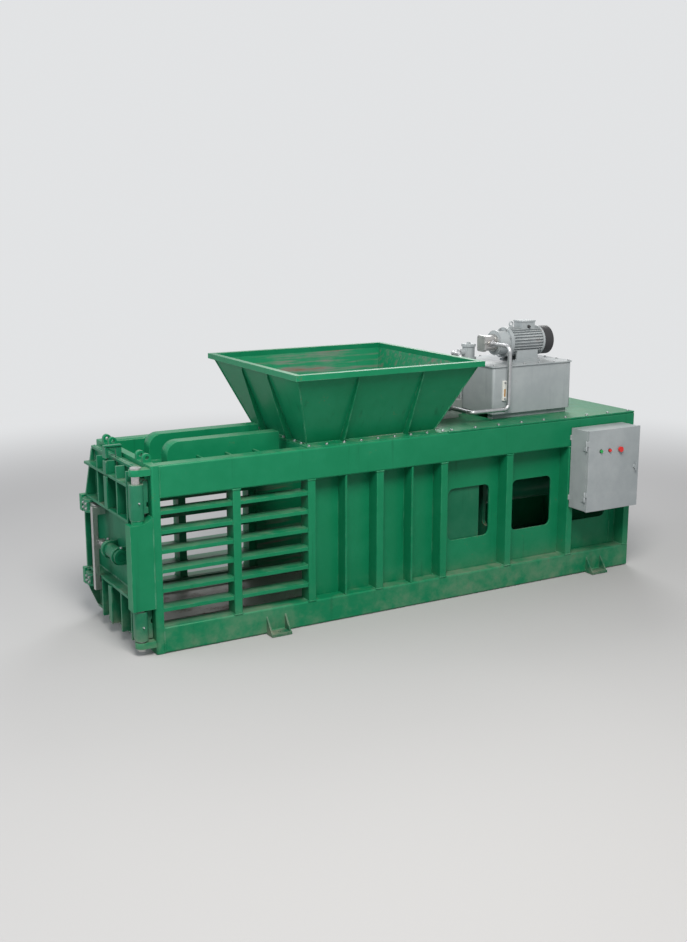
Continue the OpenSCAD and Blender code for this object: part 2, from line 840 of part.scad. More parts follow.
// Motor with cooling fins all round, an end shield at each end, two foot rails on the lid and a terminal box
module motor_body() {
    core_d = motor_d - 36;
    shield_t = 16;
    fins = 30;
    fin = [motor_l - 20, 20, 5];
    foot_y = motor_d * 0.36;
    foot = [motor_l - 80, 52, 16];
    web_w = 20;
    box = [132, 110, 66];
    box_lid_lap = 4;
    box_lid_h = 12;
    box_s = motor_s + motor_l * 0.4;
    box_z = core_d / 2 - 10;
    lid_top = lid_z + lid_t - motor_z;
    color(machine_grey) from_door_end() translate([0, motor_y, motor_z]) difference() {
        union() {
            rod_x(core_d, motor_s, motor_l);
            for (s = [motor_s, motor_s + motor_l - shield_t]) rod_x(motor_d, s, shield_t);
            for (i = [0 : fins - 1])
                rotate([i * 360 / fins, 0, 0])
                    translate([motor_s + 10, core_d / 2 - 4, -fin[2] / 2]) cube(fin);
            for (y = [-foot_y, foot_y]) {
                translate([motor_s + 40, y - foot[1] / 2, lid_top]) cube(foot);
                translate([motor_s + 60, y - web_w / 2, lid_top])
                    cube([foot[0] - 40, web_w, -lid_top - core_d * 0.32]);
            }
            translate([box_s, -box[1] / 2, box_z]) cube(box);
            translate([box_s - box_lid_lap, -box[1] / 2 - box_lid_lap, box_z + box[2]])
                cube([box[0] + 2 * box_lid_lap, box[1] + 2 * box_lid_lap, box_lid_h]);
        }
        rod_x(shaft_d + 2 * fit, motor_s - 1, motor_l + 2);
    }
}

// Sheet cowl over the fan, with a guard of rings and spokes in its end
module fan_cowl() {
    d = motor_d - 6;
    sheet_t = 3;
    lip = 25;
    wire = 4;
    spokes = 6;
    color(dark_paint) from_door_end() translate([motor_s + motor_l, motor_y, motor_z]) {
        union() {
            difference() {
                rod_x(d, 0, cowl_l);
                rod_x(d - 2 * sheet_t, -1, cowl_l - 2);
                rod_x(d - 2 * lip, -1, cowl_l + 2);
            }
            for (ring_d = [66, 114, 162])
                difference() {
                    rod_x(ring_d + 2 * wire, cowl_l - wire, wire);
                    rod_x(ring_d, cowl_l - wire - 1, wire + 2);
                }
            for (i = [0 : spokes - 1])
                rotate([i * 360 / spokes, 0, 0])
                    translate([cowl_l - wire, 0, -wire * 0.75]) cube([wire, d / 2 - 10, wire * 1.5]);
        }
    }
}

// Fan on the rear end of the motor shaft: a bored hub, a thin disc and flat blades
module motor_fan() {
    hub_d = 70;
    hub_l = 40;
    blades = 9;
    blade_thick = 4;
    color("dimgray") from_door_end() translate([motor_s + motor_l + 14, motor_y, motor_z]) difference() {
        union() {
            rod_x(hub_d, 0, hub_l);
            rod_x(hub_d + 60, 0, blade_thick);
            for (i = [0 : blades - 1])
                rotate([i * 360 / blades, 0, 0]) translate([0, hub_d / 2 - 6, -blade_thick / 2])
                    cube([hub_l, (motor_d - hub_d) / 2 - 16, blade_thick]);
        }
        rod_x(shaft_d, -1, hub_l + 2);
    }
}

// Shaft through the motor with one half of the jaw coupling, and the pump's shaft with the other half
module motor_shaft() {
    hub_d = 92;
    hub_l = 40;
    hub_s = 54;
    pump_hub_l = 16;
    pump_hub_s = 14;
    jaws = 3;
    jaw = [22, 26, 24];
    jaw_in = 18;
    color(steel) from_door_end() translate([bell_s, motor_y, motor_z]) {
        union() {
            rod_x(shaft_d, hub_s, bell_l + motor_l);
            rod_x(hub_d, hub_s, hub_l);
            for (i = [0 : jaws - 1])
                rotate([i * 360 / jaws, 0, 0]) translate([hub_s - jaw[0], jaw_in, -jaw[2] / 2]) cube(jaw);
        }
        union() {
            rod_x(pump_shaft_d, -pump_nose, pump_nose + pump_hub_s + 2);
            rod_x(hub_d, pump_hub_s, pump_hub_l);
            for (i = [0 : jaws - 1])
                rotate([(i + 0.5) * 360 / jaws, 0, 0])
                    translate([pump_hub_s + pump_hub_l - 1, jaw_in, -jaw[2] / 2]) cube(jaw);
        }
    }
}

// Bell housing between motor and pump, with two windows to the coupling
module bell_housing() {
    d = motor_d - 40;
    wall = 12;
    flange_t = 14;
    shaft_hole_d = 60;
    window = [54, 72];
    window_s = 28;
    color(machine_grey) from_door_end() translate([bell_s, motor_y, motor_z]) difference() {
        union() {
            rod_x(d, 0, bell_l);
            rod_x(motor_d, bell_l - flange_t, flange_t);
        }
        rod_x(d - 2 * wall, wall, bell_l);
        rod_x(shaft_hole_d, -1, wall + 2);
        for (m = [0, 180])
            rotate([m, 0, 0]) translate([window_s, -window[1] / 2, 0]) cube([window[0], window[1], d]);
    }
}

// Gear pump with end covers, a bored nose for its shaft and a port boss on the near side
module pump() {
    flange_d = 140;
    cover_l = 18;
    color(steel) from_door_end() translate([bell_s - pump_l, motor_y, motor_z]) difference() {
        union() {
            rod_x(flange_d, pump_l - cover_l, cover_l);
            along_x(0, cover_l) round_rect(104, 130, 20);
            along_x(cover_l, pump_l - 2 * cover_l) round_rect(96, 120, 30);
            translate([pump_l / 2, 0, 0]) rod_y(pipe_d + 16, -pump_port, 20);
        }
        rod_x(pump_shaft_d + 2 * fit, pump_l - pump_nose - 1, pump_nose + 2);
    }
}

// Stacked valve block on a stand. Each lever swings in the slot of a bonnet, on trunnions in bored walls
module valve_block() {
    sections = 4;
    section_l = block_l / sections;
    joint = 1;
    core_in = 12;
    stand_in = 20;
    bonnet = [56, 110];
    slot_y = 40;
    top_z = block_z + block_h;
    color(steel) from_door_end() difference() {
        union() {
            block([block_s + stand_in, -block_w / 2 + stand_in, deck_z],
                  [block_s + block_l - stand_in, block_w / 2 - stand_in, block_z]);
            for (i = [0 : sections - 1])
                block([block_s + i * section_l + joint, -block_w / 2, block_z],
                      [block_s + (i + 1) * section_l - joint, block_w / 2, top_z]);
            block([block_s, -block_w / 2 + core_in, block_z + core_in],
                  [block_s + block_l, block_w / 2 - core_in, top_z - core_in]);
            for (s = lever_s)
                translate([s, 0, top_z]) linear_extrude(bonnet_h) round_rect(bonnet[0], bonnet[1], 12);
        }
        for (s = lever_s) {
            block([s - lever_w / 2 - seat, -slot_y, top_z + core_in],
                  [s + lever_w / 2 + seat, slot_y, top_z + bonnet_h + 1]);
            translate([0, 0, top_z + lever_pivot_h])
                rod_x(trunnion_d + 2 * fit, s - trunnion_l / 2 - seat, trunnion_l + 2 * seat);
        }
    }
}

// A hand lever with a pivot boss and trunnions, a rod and a ball knob
module hand_lever(s) {
    rod_h = 190;
    knob_d = 40;
    color("black") from_door_end() translate([s, 0, block_z + block_h + lever_pivot_h]) {
        rod_x(20, -lever_w / 2, lever_w);
        rod_x(trunnion_d, -trunnion_l / 2, trunnion_l);
        cylinder(d = 14, h = rod_h);
        translate([0, 0, rod_h + 10]) sphere(d = knob_d);
    }
}

module press_lever() hand_lever(lever_s[0]);

module lock_lever() hand_lever(lever_s[1]);

module pressure_gauge() {
    case_d = 84;
    case_h = 28;
    case_z = 90;
    color(steel) from_door_end()
        translate([block_s + block_l / 2, -block_w / 2 + 40, block_z + block_h]) union() {
            cylinder(d = 18, h = 60);
            translate([0, 0, case_z]) {
                rod_y(case_d, 10 - case_h, case_h);
                rod_y(case_d + 6, 6 - case_h, 8);
            }
        }
}

// Press lines to both ends of the cylinder, the pump line and the return line
module hydraulic_pipes() {
    port_y = barrel_d / 2 + port_out;
    side = block_w / 2;
    lift = pipe_z;
    pump_s = bell_s - pump_l / 2;
    bypass_s = tank_s - 60;
    color(steel) from_door_end() {
        pipe_run([
            [front_port_s, port_y, press_z], [front_port_s, riser_y, press_z], [riser_s, riser_y, press_z],
            [riser_s, riser_y, lift], [riser_s, run_y[0], lift], [lever_s[1], run_y[0], lift],
            [lever_s[1], side, lift]
        ], pipe_d);
        pipe_run([
            [rear_port_s, port_y, press_z], [rear_port_s, riser_y, press_z], [rear_port_s, riser_y, lift],
            [rear_port_s, run_y[1], lift], [lever_s[0], run_y[1], lift], [lever_s[0], side, lift]
        ], pipe_d);
        pipe_run([
            [pump_s, motor_y - pump_port, motor_z], [pump_s, -run_y[0], motor_z], [pump_s, -run_y[0], lift],
            [block_s + block_l / 2, -run_y[0], lift], [block_s + block_l / 2, -side, lift]
        ], pipe_d);
        pipe_run([
            [block_s + block_l, 40, lift], [bypass_s, 40, lift], [bypass_s, 40, filter_in_z],
            [bypass_s, filter_y, filter_in_z], [filter_s - filter_in, filter_y, filter_in_z]
        ], pipe_d);
    }
}

module pipe_clamps() {
    clamp_l = 40;
    edge = pipe_d / 2 + 16;
    color(machine_grey) from_door_end()
        for (s = [tank_s + tank_l * 0.15, tank_s + tank_l * 0.81])
            difference() {
                block([s, run_y[0] - edge, deck_z], [s + clamp_l, run_y[1] + edge, pipe_z + edge]);
                for (y = run_y) translate([0, y, pipe_z]) rod_x(pipe_d + 0.4, s - 1, clamp_l + 2);
            }
}

// Hinge and lock on the frame

// Fixed bracket with a concave upper edge that runs up to the end post, and a rounded lug above and below it
module hinge_brackets() {
    boss_d = knuckle_d - 10;
    lug_d = knuckle_d - 4;
    arc_s = -sqrt(pow(arc_r, 2) - pow(arc_r - arc_rise, 2));
    color(paint) from_door_end() {
        difference() {
            union() {
                along_y(-side_y, bracket_depth) {
                    translate([-bracket_reach, bracket_z0]) square([bracket_reach, bracket_z1 - bracket_z0]);
                    difference() {
                        translate([arc_s, bracket_z1 - 1]) square([-arc_s, arc_rise + 1]);
                        translate([arc_s, bracket_z1 + arc_r]) circle(r = arc_r);
                    }
                }
                translate([hinge_s, hinge_y, bracket_z1 - 5])
                    cylinder(d = boss_d, h = knuckle_high_z[0] - bracket_z1 + 5 - seat);
            }
            translate([hinge_s, hinge_y, bracket_z0 - 1])
                cylinder(d = pin_d + 2 * fit, h = bracket_z1 - bracket_z0 + 60);
        }
        for (z = [low_lug_z, lug_z])
            translate([hinge_s, hinge_y, z]) linear_extrude(lug_t) difference() {
                union() {
                    circle(d = lug_d);
                    translate([0, -lug_d / 2]) square([-hinge_s, lug_d]);
                }
                circle(d = pin_d + 2 * fit);
            }
    }
}

module hinge_pin() {
    tail = 20;
    head_h = 12;
    color(steel) from_door_end() translate([hinge_s, hinge_y, 0]) union() {
        translate([0, 0, low_lug_z - tail]) cylinder(d = pin_d, h = lug_z + lug_t - low_lug_z + tail);
        translate([0, 0, lug_z + lug_t]) cylinder(d = pin_d + 16, h = head_h);
    }
}

// Blocks on the end posts with a square pocket for each lock bolt
module lock_keepers() {
    wall = 22;
    s0 = bolt_s - bolt_w / 2 - wall;
    color(paint) from_door_end()
        for (z = [bolt_low_z, bolt_high_z])
            along_y(keeper_y[0], keeper_y[1] - keeper_y[0]) difference() {
                translate([s0, z - keeper_h / 2]) square([-s0, keeper_h]);
                translate([bolt_s, z]) square(bolt_w + 4, center = true);
            }
}

// Control cabinet

// Cabinet with its mounting rails, and hinge knuckles that carry the pins for the door
module cabinet_box() {
    rail_h = 40;
    back_y = -side_y - cabinet_rail_t;
    color(machine_grey) from_door_end() difference() {
        union() {
            block([cabinet_s, cabinet_y, cabinet_z], [cabinet_s + cabinet_w, back_y, cabinet_z + cabinet_h]);
            for (z = [cabinet_z + 60, cabinet_z + cabinet_h - rail_h - 60])
                block([post_places[5] + 5, back_y, z], [frame_len - 5, -side_y, z + rail_h]);
            for (z = cabinet_hinge_z)
                translate([cabinet_hinge_s, cabinet_hinge_y, z]) {
                    cylinder(d = cabinet_hinge_d, h = cabinet_knuckle_h);
                    cylinder(d = cabinet_pin_d, h = 2 * cabinet_knuckle_h + 4);
                    translate([0, 4, 0]) cube([cabinet_hinge_d / 2, 30, cabinet_knuckle_h]);
                }
        }
        block([cabinet_s + cabinet_t, cabinet_y - 1, cabinet_z + cabinet_t],
              [cabinet_s + cabinet_w - cabinet_t, back_y - cabinet_t, cabinet_z + cabinet_h - cabinet_t]);
    }
}

// Gear plate with three rows of switchgear, each on its rail
module cabinet_gear() {
    edge = 30;
    plate_t = 4;
    rail_t = 8;
    rail_h = 35;
    gear = [cabinet_w * 0.085, cabinet_d * 0.29, cabinet_h * 0.144];
    gear_pitch = gear[0] + 12;
    plate_y = -side_y - cabinet_rail_t - cabinet_t - plate_t;
    s = [cabinet_s + edge, cabinet_s + cabinet_w - edge];
    color("lightgray") from_door_end() {
        block([s[0], plate_y, cabinet_z + edge],
              [s[1], plate_y + plate_t, cabinet_z + cabinet_h - edge]);
        for (row = [0 : 2]) {
            z = cabinet_z + cabinet_h * (0.21 + row * 0.27);
            block([s[0] + edge, plate_y - rail_t, z - rail_h / 2], [s[1] - edge, plate_y, z + rail_h / 2]);
            for (i = [0 : 4 + row])
                translate([s[0] + 1.4 * edge + i * gear_pitch, plate_y - rail_t - gear[1], z - gear[2] / 2])
                    cube(gear);
        }
    }
}

// Door pan with a folded edge, hinge leaves, a quarter-turn latch and holes for the buttons
module cabinet_door() {
    lap = 4;
    latch_d = 34;
    latch_h = 14;
    grip = [12, 9, 68];
    low = [cabinet_s + 2, cabinet_door_y - cabinet_pan_d, cabinet_z - lap];
    high = [cabinet_s + cabinet_w + lap, cabinet_door_y, cabinet_z + cabinet_h + lap];
    sheet = [cabinet_t, cabinet_t, cabinet_t];
    color(machine_grey) from_door_end() difference() {
        union() {
            difference() {
                block(low, high);
                block(low + sheet, [high[0] - cabinet_t, high[1] + 1, high[2] - cabinet_t]);
            }
            for (z = cabinet_hinge_z)
                translate([cabinet_hinge_s, cabinet_hinge_y, z + cabinet_knuckle_h + seat]) {
                    cylinder(d = cabinet_hinge_d, h = cabinet_knuckle_h - 1);
                    translate([0, -19, 0]) cube([cabinet_hinge_d / 2 + 3, 16, cabinet_knuckle_h - 1]);
                }
            translate([cabinet_s + cabinet_w - 40, low[1] - latch_h, cabinet_z + cabinet_h / 2]) {
                rod_y(latch_d, 0, latch_h);
                translate([-grip[0] / 2, -grip[1] + 1, -grip[2] / 2]) cube(grip);
            }
        }
        for (x = button_s) translate([x, 0, button_z]) rod_y(button_d + 2 * button_gap, low[1] - 1, 30);
        for (z = cabinet_hinge_z)
            translate([cabinet_hinge_s, cabinet_hinge_y, z + cabinet_knuckle_h - 1])
                cylinder(d = cabinet_pin_d + 2 * fit, h = cabinet_knuckle_h + 2);
    }
}

// Push button: a stem through the door and a head that stands proud of it
module push_button(x, head_d, head_h) {
    y0 = cabinet_door_y - cabinet_pan_d;
    translate([x, 0, button_z]) {
        rod_y(button_d, y0 - button_out, 30 + button_out);
        rod_y(head_d, y0 - button_out - head_h, head_h);
    }
}

module start_button() {
    color("limegreen") from_door_end() push_button(button_s[0], button_d + 4, 5);
}

module stop_button() {
    color("red") from_door_end() push_button(button_s[1], button_d + 4, 5);
}

module emergency_stop() {
    color("red") from_door_end() push_button(button_s[2], 2 * button_d, 16);
}

// Door

// Door plate with tie grooves in its inner face, cut back beside the hinge bracket and the lugs
module door_leaf() {
    tabs = [[knuckle_low_z[0] - 4, knuckle_low_z[1] + 1],
            [bracket_z1 + arc_rise + 12, knuckle_high_z[1] + 15]];
    color(paint) from_door_end() difference() {
        union() {
            block([leaf_out, leaf_near_y, door_z0], [leaf_in, leaf_far_y, door_z1]);
            for (tab = tabs) block([leaf_out, tab_y, tab[0]], [leaf_in, leaf_near_y + 1, tab[1]]);
        }
        for (i = [0 : tie_slots - 1])
            block([leaf_groove, tab_y - 1, slot_z(i) - groove_h / 2],
                  [leaf_in + 1, leaf_far_y + 1, slot_z(i) + groove_h / 2]);
    }
}

// Shelves across the outside of the door plate, from the near upright to the free edge
module door_shelves() {
    top_bar = [rib_out - 14, leaf_in];
    color(paint) from_door_end() {
        for (z = shelf_z) {
            s0 = z == shelf_z[0] || z == shelf_z[4] ? leaf_out - shelf_short : rib_out;
            block([s0, near_rib_y, z], [leaf_out, leaf_far_y, z + rib_t]);
        }
        // bar along the top of the centre rib
        block([top_bar[0], -rib_t, top_bar_z], [top_bar[1], rib_t, top_bar_z + 12]);
    }
}

// Uprights between the shelves: the near one, those at the middle with an outer flange, and the slanted free edge
module door_ribs() {
    upright_y = [-200, 0, 200];
    flange = [12, 64];
    color(paint) from_door_end() difference() {
        union() {
            block([rib_out, near_rib_y, door_z0], [leaf_out, near_rib_y + rib_t, door_z1]);
            for (y = upright_y, z = [[door_z0, bay_z[0]], [bay_z[1], door_z1]])
                block([rib_out, y - rib_t / 2, z[0]], [leaf_out, y + rib_t / 2, z[1]]);
            // the centre rib is carried over the top of the leaf
            block([rib_out, -rib_t / 2, door_z1], [leaf_in, rib_t / 2, top_bar_z]);
            for (z = [[door_z0 + 40, bay_z[0]], [bay_z[1], top_bar_z]])
                block([rib_out - flange[0], -flange[1] / 2, z[0]], [rib_out, flange[1] / 2, z[1]]);
            along_y(leaf_far_y - rib_t, rib_t) polygon([
                [leaf_out, door_z0], [leaf_out - shelf_short, door_z0], [rib_out, bolt_low_z - 100],
                [rib_out - 14, bolt_low_z - 60], [rib_out - 14, bolt_high_z + 60], [rib_out, bolt_high_z + 80],
                [leaf_out - shelf_short, door_z1], [leaf_out, door_z1]
            ]);
        }
        // the shelves' own places
        for (z = shelf_z) block([rib_out - 20, near_rib_y - 1, z], [leaf_out + 1, leaf_far_y + 1, z + rib_t]);
        // square lifting hole
        block([rib_out + 21, -rib_t, door_z1 - 8], [leaf_out - 6, rib_t, door_z1 + 62]);
        // holes for the lock bolts in the free edge
        for (z = [bolt_low_z, bolt_high_z])
            translate([bolt_s, leaf_far_y - rib_t / 2, z])
                cube([bolt_w + 2 * slide, rib_t + 2, bolt_w + 2 * slide], center = true);
        // room for the lower bolt in the upright beside it
        block([rib_out - 1, bar_y - 10, bolt_low_z - bolt_w / 2 - 3],
              [leaf_out - 9, leaf_far_y - rib_t - 1, bolt_low_z + bolt_w / 2 + 3]);
    }
}

// Door knuckles: a bored tube with a block that joins it to the near upright and the door plate
module door_knuckles() {
    color(paint) from_door_end()
        for (z = [knuckle_low_z, knuckle_high_z])
            translate([0, 0, z[0]]) difference() {
                union() {
                    translate([hinge_s, hinge_y, 0]) cylinder(d = knuckle_d, h = z[1] - z[0]);
                    linear_extrude(z[1] - z[0])
                        polygon([[leaf_out, hinge_y + 10], [leaf_out, near_rib_y], [rib_out + 6, near_rib_y],
                                 [hinge_s - knuckle_d / 2 + 4, hinge_y + 20], [hinge_s, hinge_y]]);
                }
                translate([hinge_s, hinge_y, -1]) cylinder(d = pin_d + 2 * fit, h = z[1] - z[0] + 2);
            }
}

// Ears above and below each lock bolt, closed by a strap outside it, and two saddles for the lock cylinder
module lock_guides() {
    half = bolt_w / 2 + slide;
    ear_s = rib_out - 34;
    saddle_w = 28;
    saddle_d = lock_barrel_d + 30;
    color(paint) from_door_end() {
        for (z = [bolt_low_z, bolt_high_z]) {
            for (z0 = [z - half - guide_t, z + half])
                translate([0, 0, z0]) linear_extrude(guide_t) difference() {
                    translate([ear_s, guide_y[0]]) square([leaf_out - ear_s, guide_y[1] - guide_y[0]]);
                    translate([ear_s, guide_y[0]]) rotate(45) square(34, center = true);
                }
            block([bolt_s - half - strap_t, guide_y[0] + 10, z - half], [bolt_s - half, guide_y[1], z + half]);
        }
        for (y = [lock_barrel_y[0] + 50, lock_barrel_y[1] - 50])
            along_y(y - saddle_w / 2, saddle_w) translate([bolt_s, lock_z]) difference() {
                union() {
                    circle(d = saddle_d);
                    translate([0, -saddle_d / 2]) square([leaf_out - bolt_s, saddle_d]);
                }
                circle(d = lock_barrel_d + 0.2);
                translate([leaf_out - bolt_s, -saddle_d]) square([saddle_d, 2 * saddle_d]);
            }
    }
}

// Lock cylinder with a ringed end cap, a gland end and a drilled port boss on each
module lock_barrel() {
    len = lock_barrel_y[1] - lock_barrel_y[0];
    cap_l = 26;
    end_wall = 34;
    boss_d = 24;
    boss_h = lock_barrel_d / 2 + 16;
    ports = [lock_barrel_y[0] + cap_l / 2, lock_barrel_y[1] - cap_l / 2];
    color(dark_paint) from_door_end() translate([bolt_s, 0, lock_z]) difference() {
        union() {
            rod_y(lock_barrel_d, lock_barrel_y[0], len);
            rod_y(lock_barrel_d + 10, lock_barrel_y[0], cap_l);
            rod_y(lock_barrel_d + 8, lock_barrel_y[1] - cap_l, cap_l);
            for (y = ports) translate([0, y, 0]) cylinder(d = boss_d, h = boss_h);
        }
        rod_y(lock_barrel_d - 34, lock_barrel_y[0] - 1, 9);
        rod_y(lock_bore_d, lock_barrel_y[0] + end_wall, len - 2 * end_wall + 4);
        rod_y(lock_rod_d + 2 * fit, lock_barrel_y[1] - end_wall, end_wall + 1);
        for (y = ports) translate([0, y, boss_h - 18]) cylinder(d = boss_d / 2, h = 19);
    }
}

module lock_rod() {
    color(steel) from_door_end() translate([bolt_s, 0, lock_z]) union() {
        rod_y(lock_bore_d - 2 * fit, lock_piston_y, 36);
        rod_y(lock_rod_d, lock_piston_y, bar_y - lock_piston_y - seat);
    }
}

// Both lock bolts with the upright bar that moves them and the lug that the rod pushes
module lock_bolts() {
    half = bolt_w / 2;
    lug_half = lock_rod_d * 0.85;
    color(steel) from_door_end() union() {
        for (z = [bolt_low_z, bolt_high_z])
            block([bolt_s - half, bar_y, z - half], [bolt_s + half, bolt_tip_y, z + half]);
        block([bolt_s - half - bar_w, bar_y, bolt_low_z - half], [bolt_s - half, bar_y + bar_w, bolt_high_z + half]);
        block([bolt_s - half, bar_y, lock_z - lug_half], [bolt_s + half - 6, bar_y + bar_w, lock_z + lug_half]);
    }
}

// Ram

// Hollow ram: thick grooved face, side, top and bottom plates and two inner ribs, open at the rear
module ram_body() {
    y = ram_w / 2;
    rib_y = 270;
    rib_end_s = ram_s + ram_len - 60;
    color(dark_paint) from_door_end() difference() {
        union() {
            block([ram_s, -y, ram_z0], [ram_s + ram_face_t, y, ram_z1]);
            both_sides() {
                block([ram_s, y - ram_t, ram_z0], [ram_s + ram_len, y, ram_z1]);
                block([ram_s, rib_y - ram_t / 2, ram_z0], [rib_end_s, rib_y + ram_t / 2, ram_z1]);
            }
            for (z = [ram_z0, ram_z1 - ram_t]) block([ram_s, -y, z], [ram_s + ram_len, y, z + ram_t]);
        }
        for (i = [0 : tie_slots - 1])
            block([ram_s - 1, -y - 1, slot_z(i) - groove_h / 2],
                  [ram_s + groove_d, y + 1, slot_z(i) + groove_h / 2]);
    }
}

module ram_slippers() {
    slipper_w = 90;
    inset = 10;
    color("darkgoldenrod") from_door_end()
        for (y = [-chamber_w / 3, chamber_w / 3])
            block([ram_s + inset, y - slipper_w / 2, ram_z0 - slipper_t],
                  [ram_s + ram_len - inset, y + slipper_w / 2, ram_z0]);
}

module ram_blade() {
    color(steel) from_door_end()
        block([ram_s, -ram_w / 2, ram_z1], [ram_s + blade_l, ram_w / 2, ram_z1 + blade_t]);
}

// Plate behind the blade that closes the feed opening while the ram is forward
module ram_cover() {
    rib_y = chamber_w * 0.3;
    cover_rib_t = 12;
    color(dark_paint) from_door_end() {
        block([ram_s + blade_l, -ram_w / 2, ram_z1], [ram_s + cover_len, ram_w / 2, ram_z1 + cover_t]);
        for (y = [-rib_y, rib_y])
            block([ram_s + ram_len, y - cover_rib_t / 2, ram_z1 - cover_rib_h],
                  [ram_s + cover_len, y + cover_rib_t / 2, ram_z1]);
    }
}

base_rails();
base_cross_members();
anchor_feet();
top_rails();
side_posts();
cross_beams();
floor_plate();
feed_walls();
tie_bars();
chamber_roof();
roof_stiffeners();
roof_ribs();
rear_walls();
hopper();
fixed_shear_blade();
cylinder_support();
rear_crosshead();
press_barrel();
press_gland();
frame_bolts();
rear_deck();
oil_tank();
tank_lid();
level_gauge();
return_filter();
filler_cap();
motor_body();
fan_cowl();
motor_fan();
motor_shaft();
bell_housing();
pump();
valve_block();
press_lever();
lock_lever();
pressure_gauge();
hydraulic_pipes();
pipe_clamps();
hinge_brackets();
hinge_pin();
lock_keepers();
cabinet_box();
cabinet_gear();
cabinet_door();
start_button();
stop_button();
emergency_stop();
door_leaf();
door_ribs();
door_shelves();
door_knuckles();
lock_guides();
lock_barrel();
lock_rod();
lock_bolts();
ram_body();
ram_slippers();
ram_blade();
ram_cover();
press_rod();
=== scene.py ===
# %% [markdown]
# # A waste baler, dressed around its packed steel model
#
# The machine is a long steel frame. At its near end a ribbed door closes a press chamber whose walls are
# tie bars with slots between them. Behind it come a feed hopper, a ram with its cylinder, and the power
# unit on a deck. The solids already have their real shapes and sizes, in metres, so this lesson gives
# them paint, steel, wear and the small pieces that a workshop adds last: weld seams, bolts, a gauge dial,
# a sight glass and glands.

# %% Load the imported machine
import json
import math

import bpy
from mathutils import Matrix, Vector


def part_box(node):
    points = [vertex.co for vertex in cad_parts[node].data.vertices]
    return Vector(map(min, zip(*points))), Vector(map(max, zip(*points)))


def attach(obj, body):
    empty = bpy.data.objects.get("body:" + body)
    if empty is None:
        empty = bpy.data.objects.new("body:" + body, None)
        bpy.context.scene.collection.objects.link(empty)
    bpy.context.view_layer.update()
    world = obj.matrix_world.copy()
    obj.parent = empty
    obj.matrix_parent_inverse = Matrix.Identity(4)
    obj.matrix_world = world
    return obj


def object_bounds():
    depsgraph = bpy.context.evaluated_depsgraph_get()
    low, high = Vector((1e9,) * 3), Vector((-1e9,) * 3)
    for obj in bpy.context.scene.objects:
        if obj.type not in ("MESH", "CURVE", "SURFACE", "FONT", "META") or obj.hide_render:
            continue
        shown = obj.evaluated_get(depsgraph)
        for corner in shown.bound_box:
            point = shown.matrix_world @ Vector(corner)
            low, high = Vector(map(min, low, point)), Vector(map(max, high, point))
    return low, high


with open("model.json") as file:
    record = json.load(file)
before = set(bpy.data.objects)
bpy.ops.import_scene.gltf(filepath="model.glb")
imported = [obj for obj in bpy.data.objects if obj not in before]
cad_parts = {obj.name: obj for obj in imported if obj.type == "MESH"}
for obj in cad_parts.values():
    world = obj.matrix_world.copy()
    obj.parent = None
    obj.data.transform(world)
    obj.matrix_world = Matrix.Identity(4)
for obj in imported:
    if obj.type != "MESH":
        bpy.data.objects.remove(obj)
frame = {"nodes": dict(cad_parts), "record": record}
solid_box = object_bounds()
nodes = frame["nodes"]
bpy.ops.object.select_all(action="DESELECT")
print("solids from", [round(v, 3) for v in solid_box[0]], "to", [round(v, 3) for v in solid_box[1]])

# %% [markdown]
# ## The camera
#
# The machine is seen from its door end, a little above eye height, so that both the slotted side and the
# face of the door show. A camera is placed by walking back from the middle of the machine along the line
# of sight.

# %% Camera
AZIMUTH = -30
ELEVATION = 12.5
DISTANCE = 9.4
LENS = 46
AIM_OFFSET = Vector((-0.28, 0, -0.05))
middle = (solid_box[0] + solid_box[1]) / 2 + AIM_OFFSET
turn, tilt = math.radians(AZIMUTH), math.radians(ELEVATION)
line_of_sight = Vector((math.sin(turn) * math.cos(tilt), -math.cos(turn) * math.cos(tilt), math.sin(tilt)))

camera_data = bpy.data.cameras.new("camera")
camera = bpy.data.objects.new("camera", camera_data)
bpy.context.scene.collection.objects.link(camera)
camera_data.lens = LENS
camera.location = middle + line_of_sight * DISTANCE
camera.rotation_mode = "QUATERNION"
camera.rotation_quaternion = (-line_of_sight).to_track_quat("-Z", "Y")
bpy.context.scene.camera = camera
print("camera at", [round(v, 2) for v in camera.location])

# %% [markdown]
# ## Shader maths as plain sums
#
# A material is a small sum of patterns: a noise for patches, a mask for worn edges, a slope for dust.
# Wrapping a socket in a class that knows +, -, * and / lets those sums be read as sums, and every node is
# added by one method.


# %% A wrapped socket and a material's node tree
class Value:
    """An output socket that can be used in sums."""

    def __init__(self, shade, socket):
        self.shade = shade
        self.socket = socket

    def __add__(self, other):
        return self.shade.sum("ADD", self, other)

    def __sub__(self, other):
        return self.shade.sum("SUBTRACT", self, other)

    def __rsub__(self, other):
        return self.shade.sum("SUBTRACT", other, self)

    def __mul__(self, other):
        return self.shade.sum("MULTIPLY", self, other)

    def __truediv__(self, other):
        return self.shade.sum("DIVIDE", self, other)

    __radd__ = __add__
    __rmul__ = __mul__


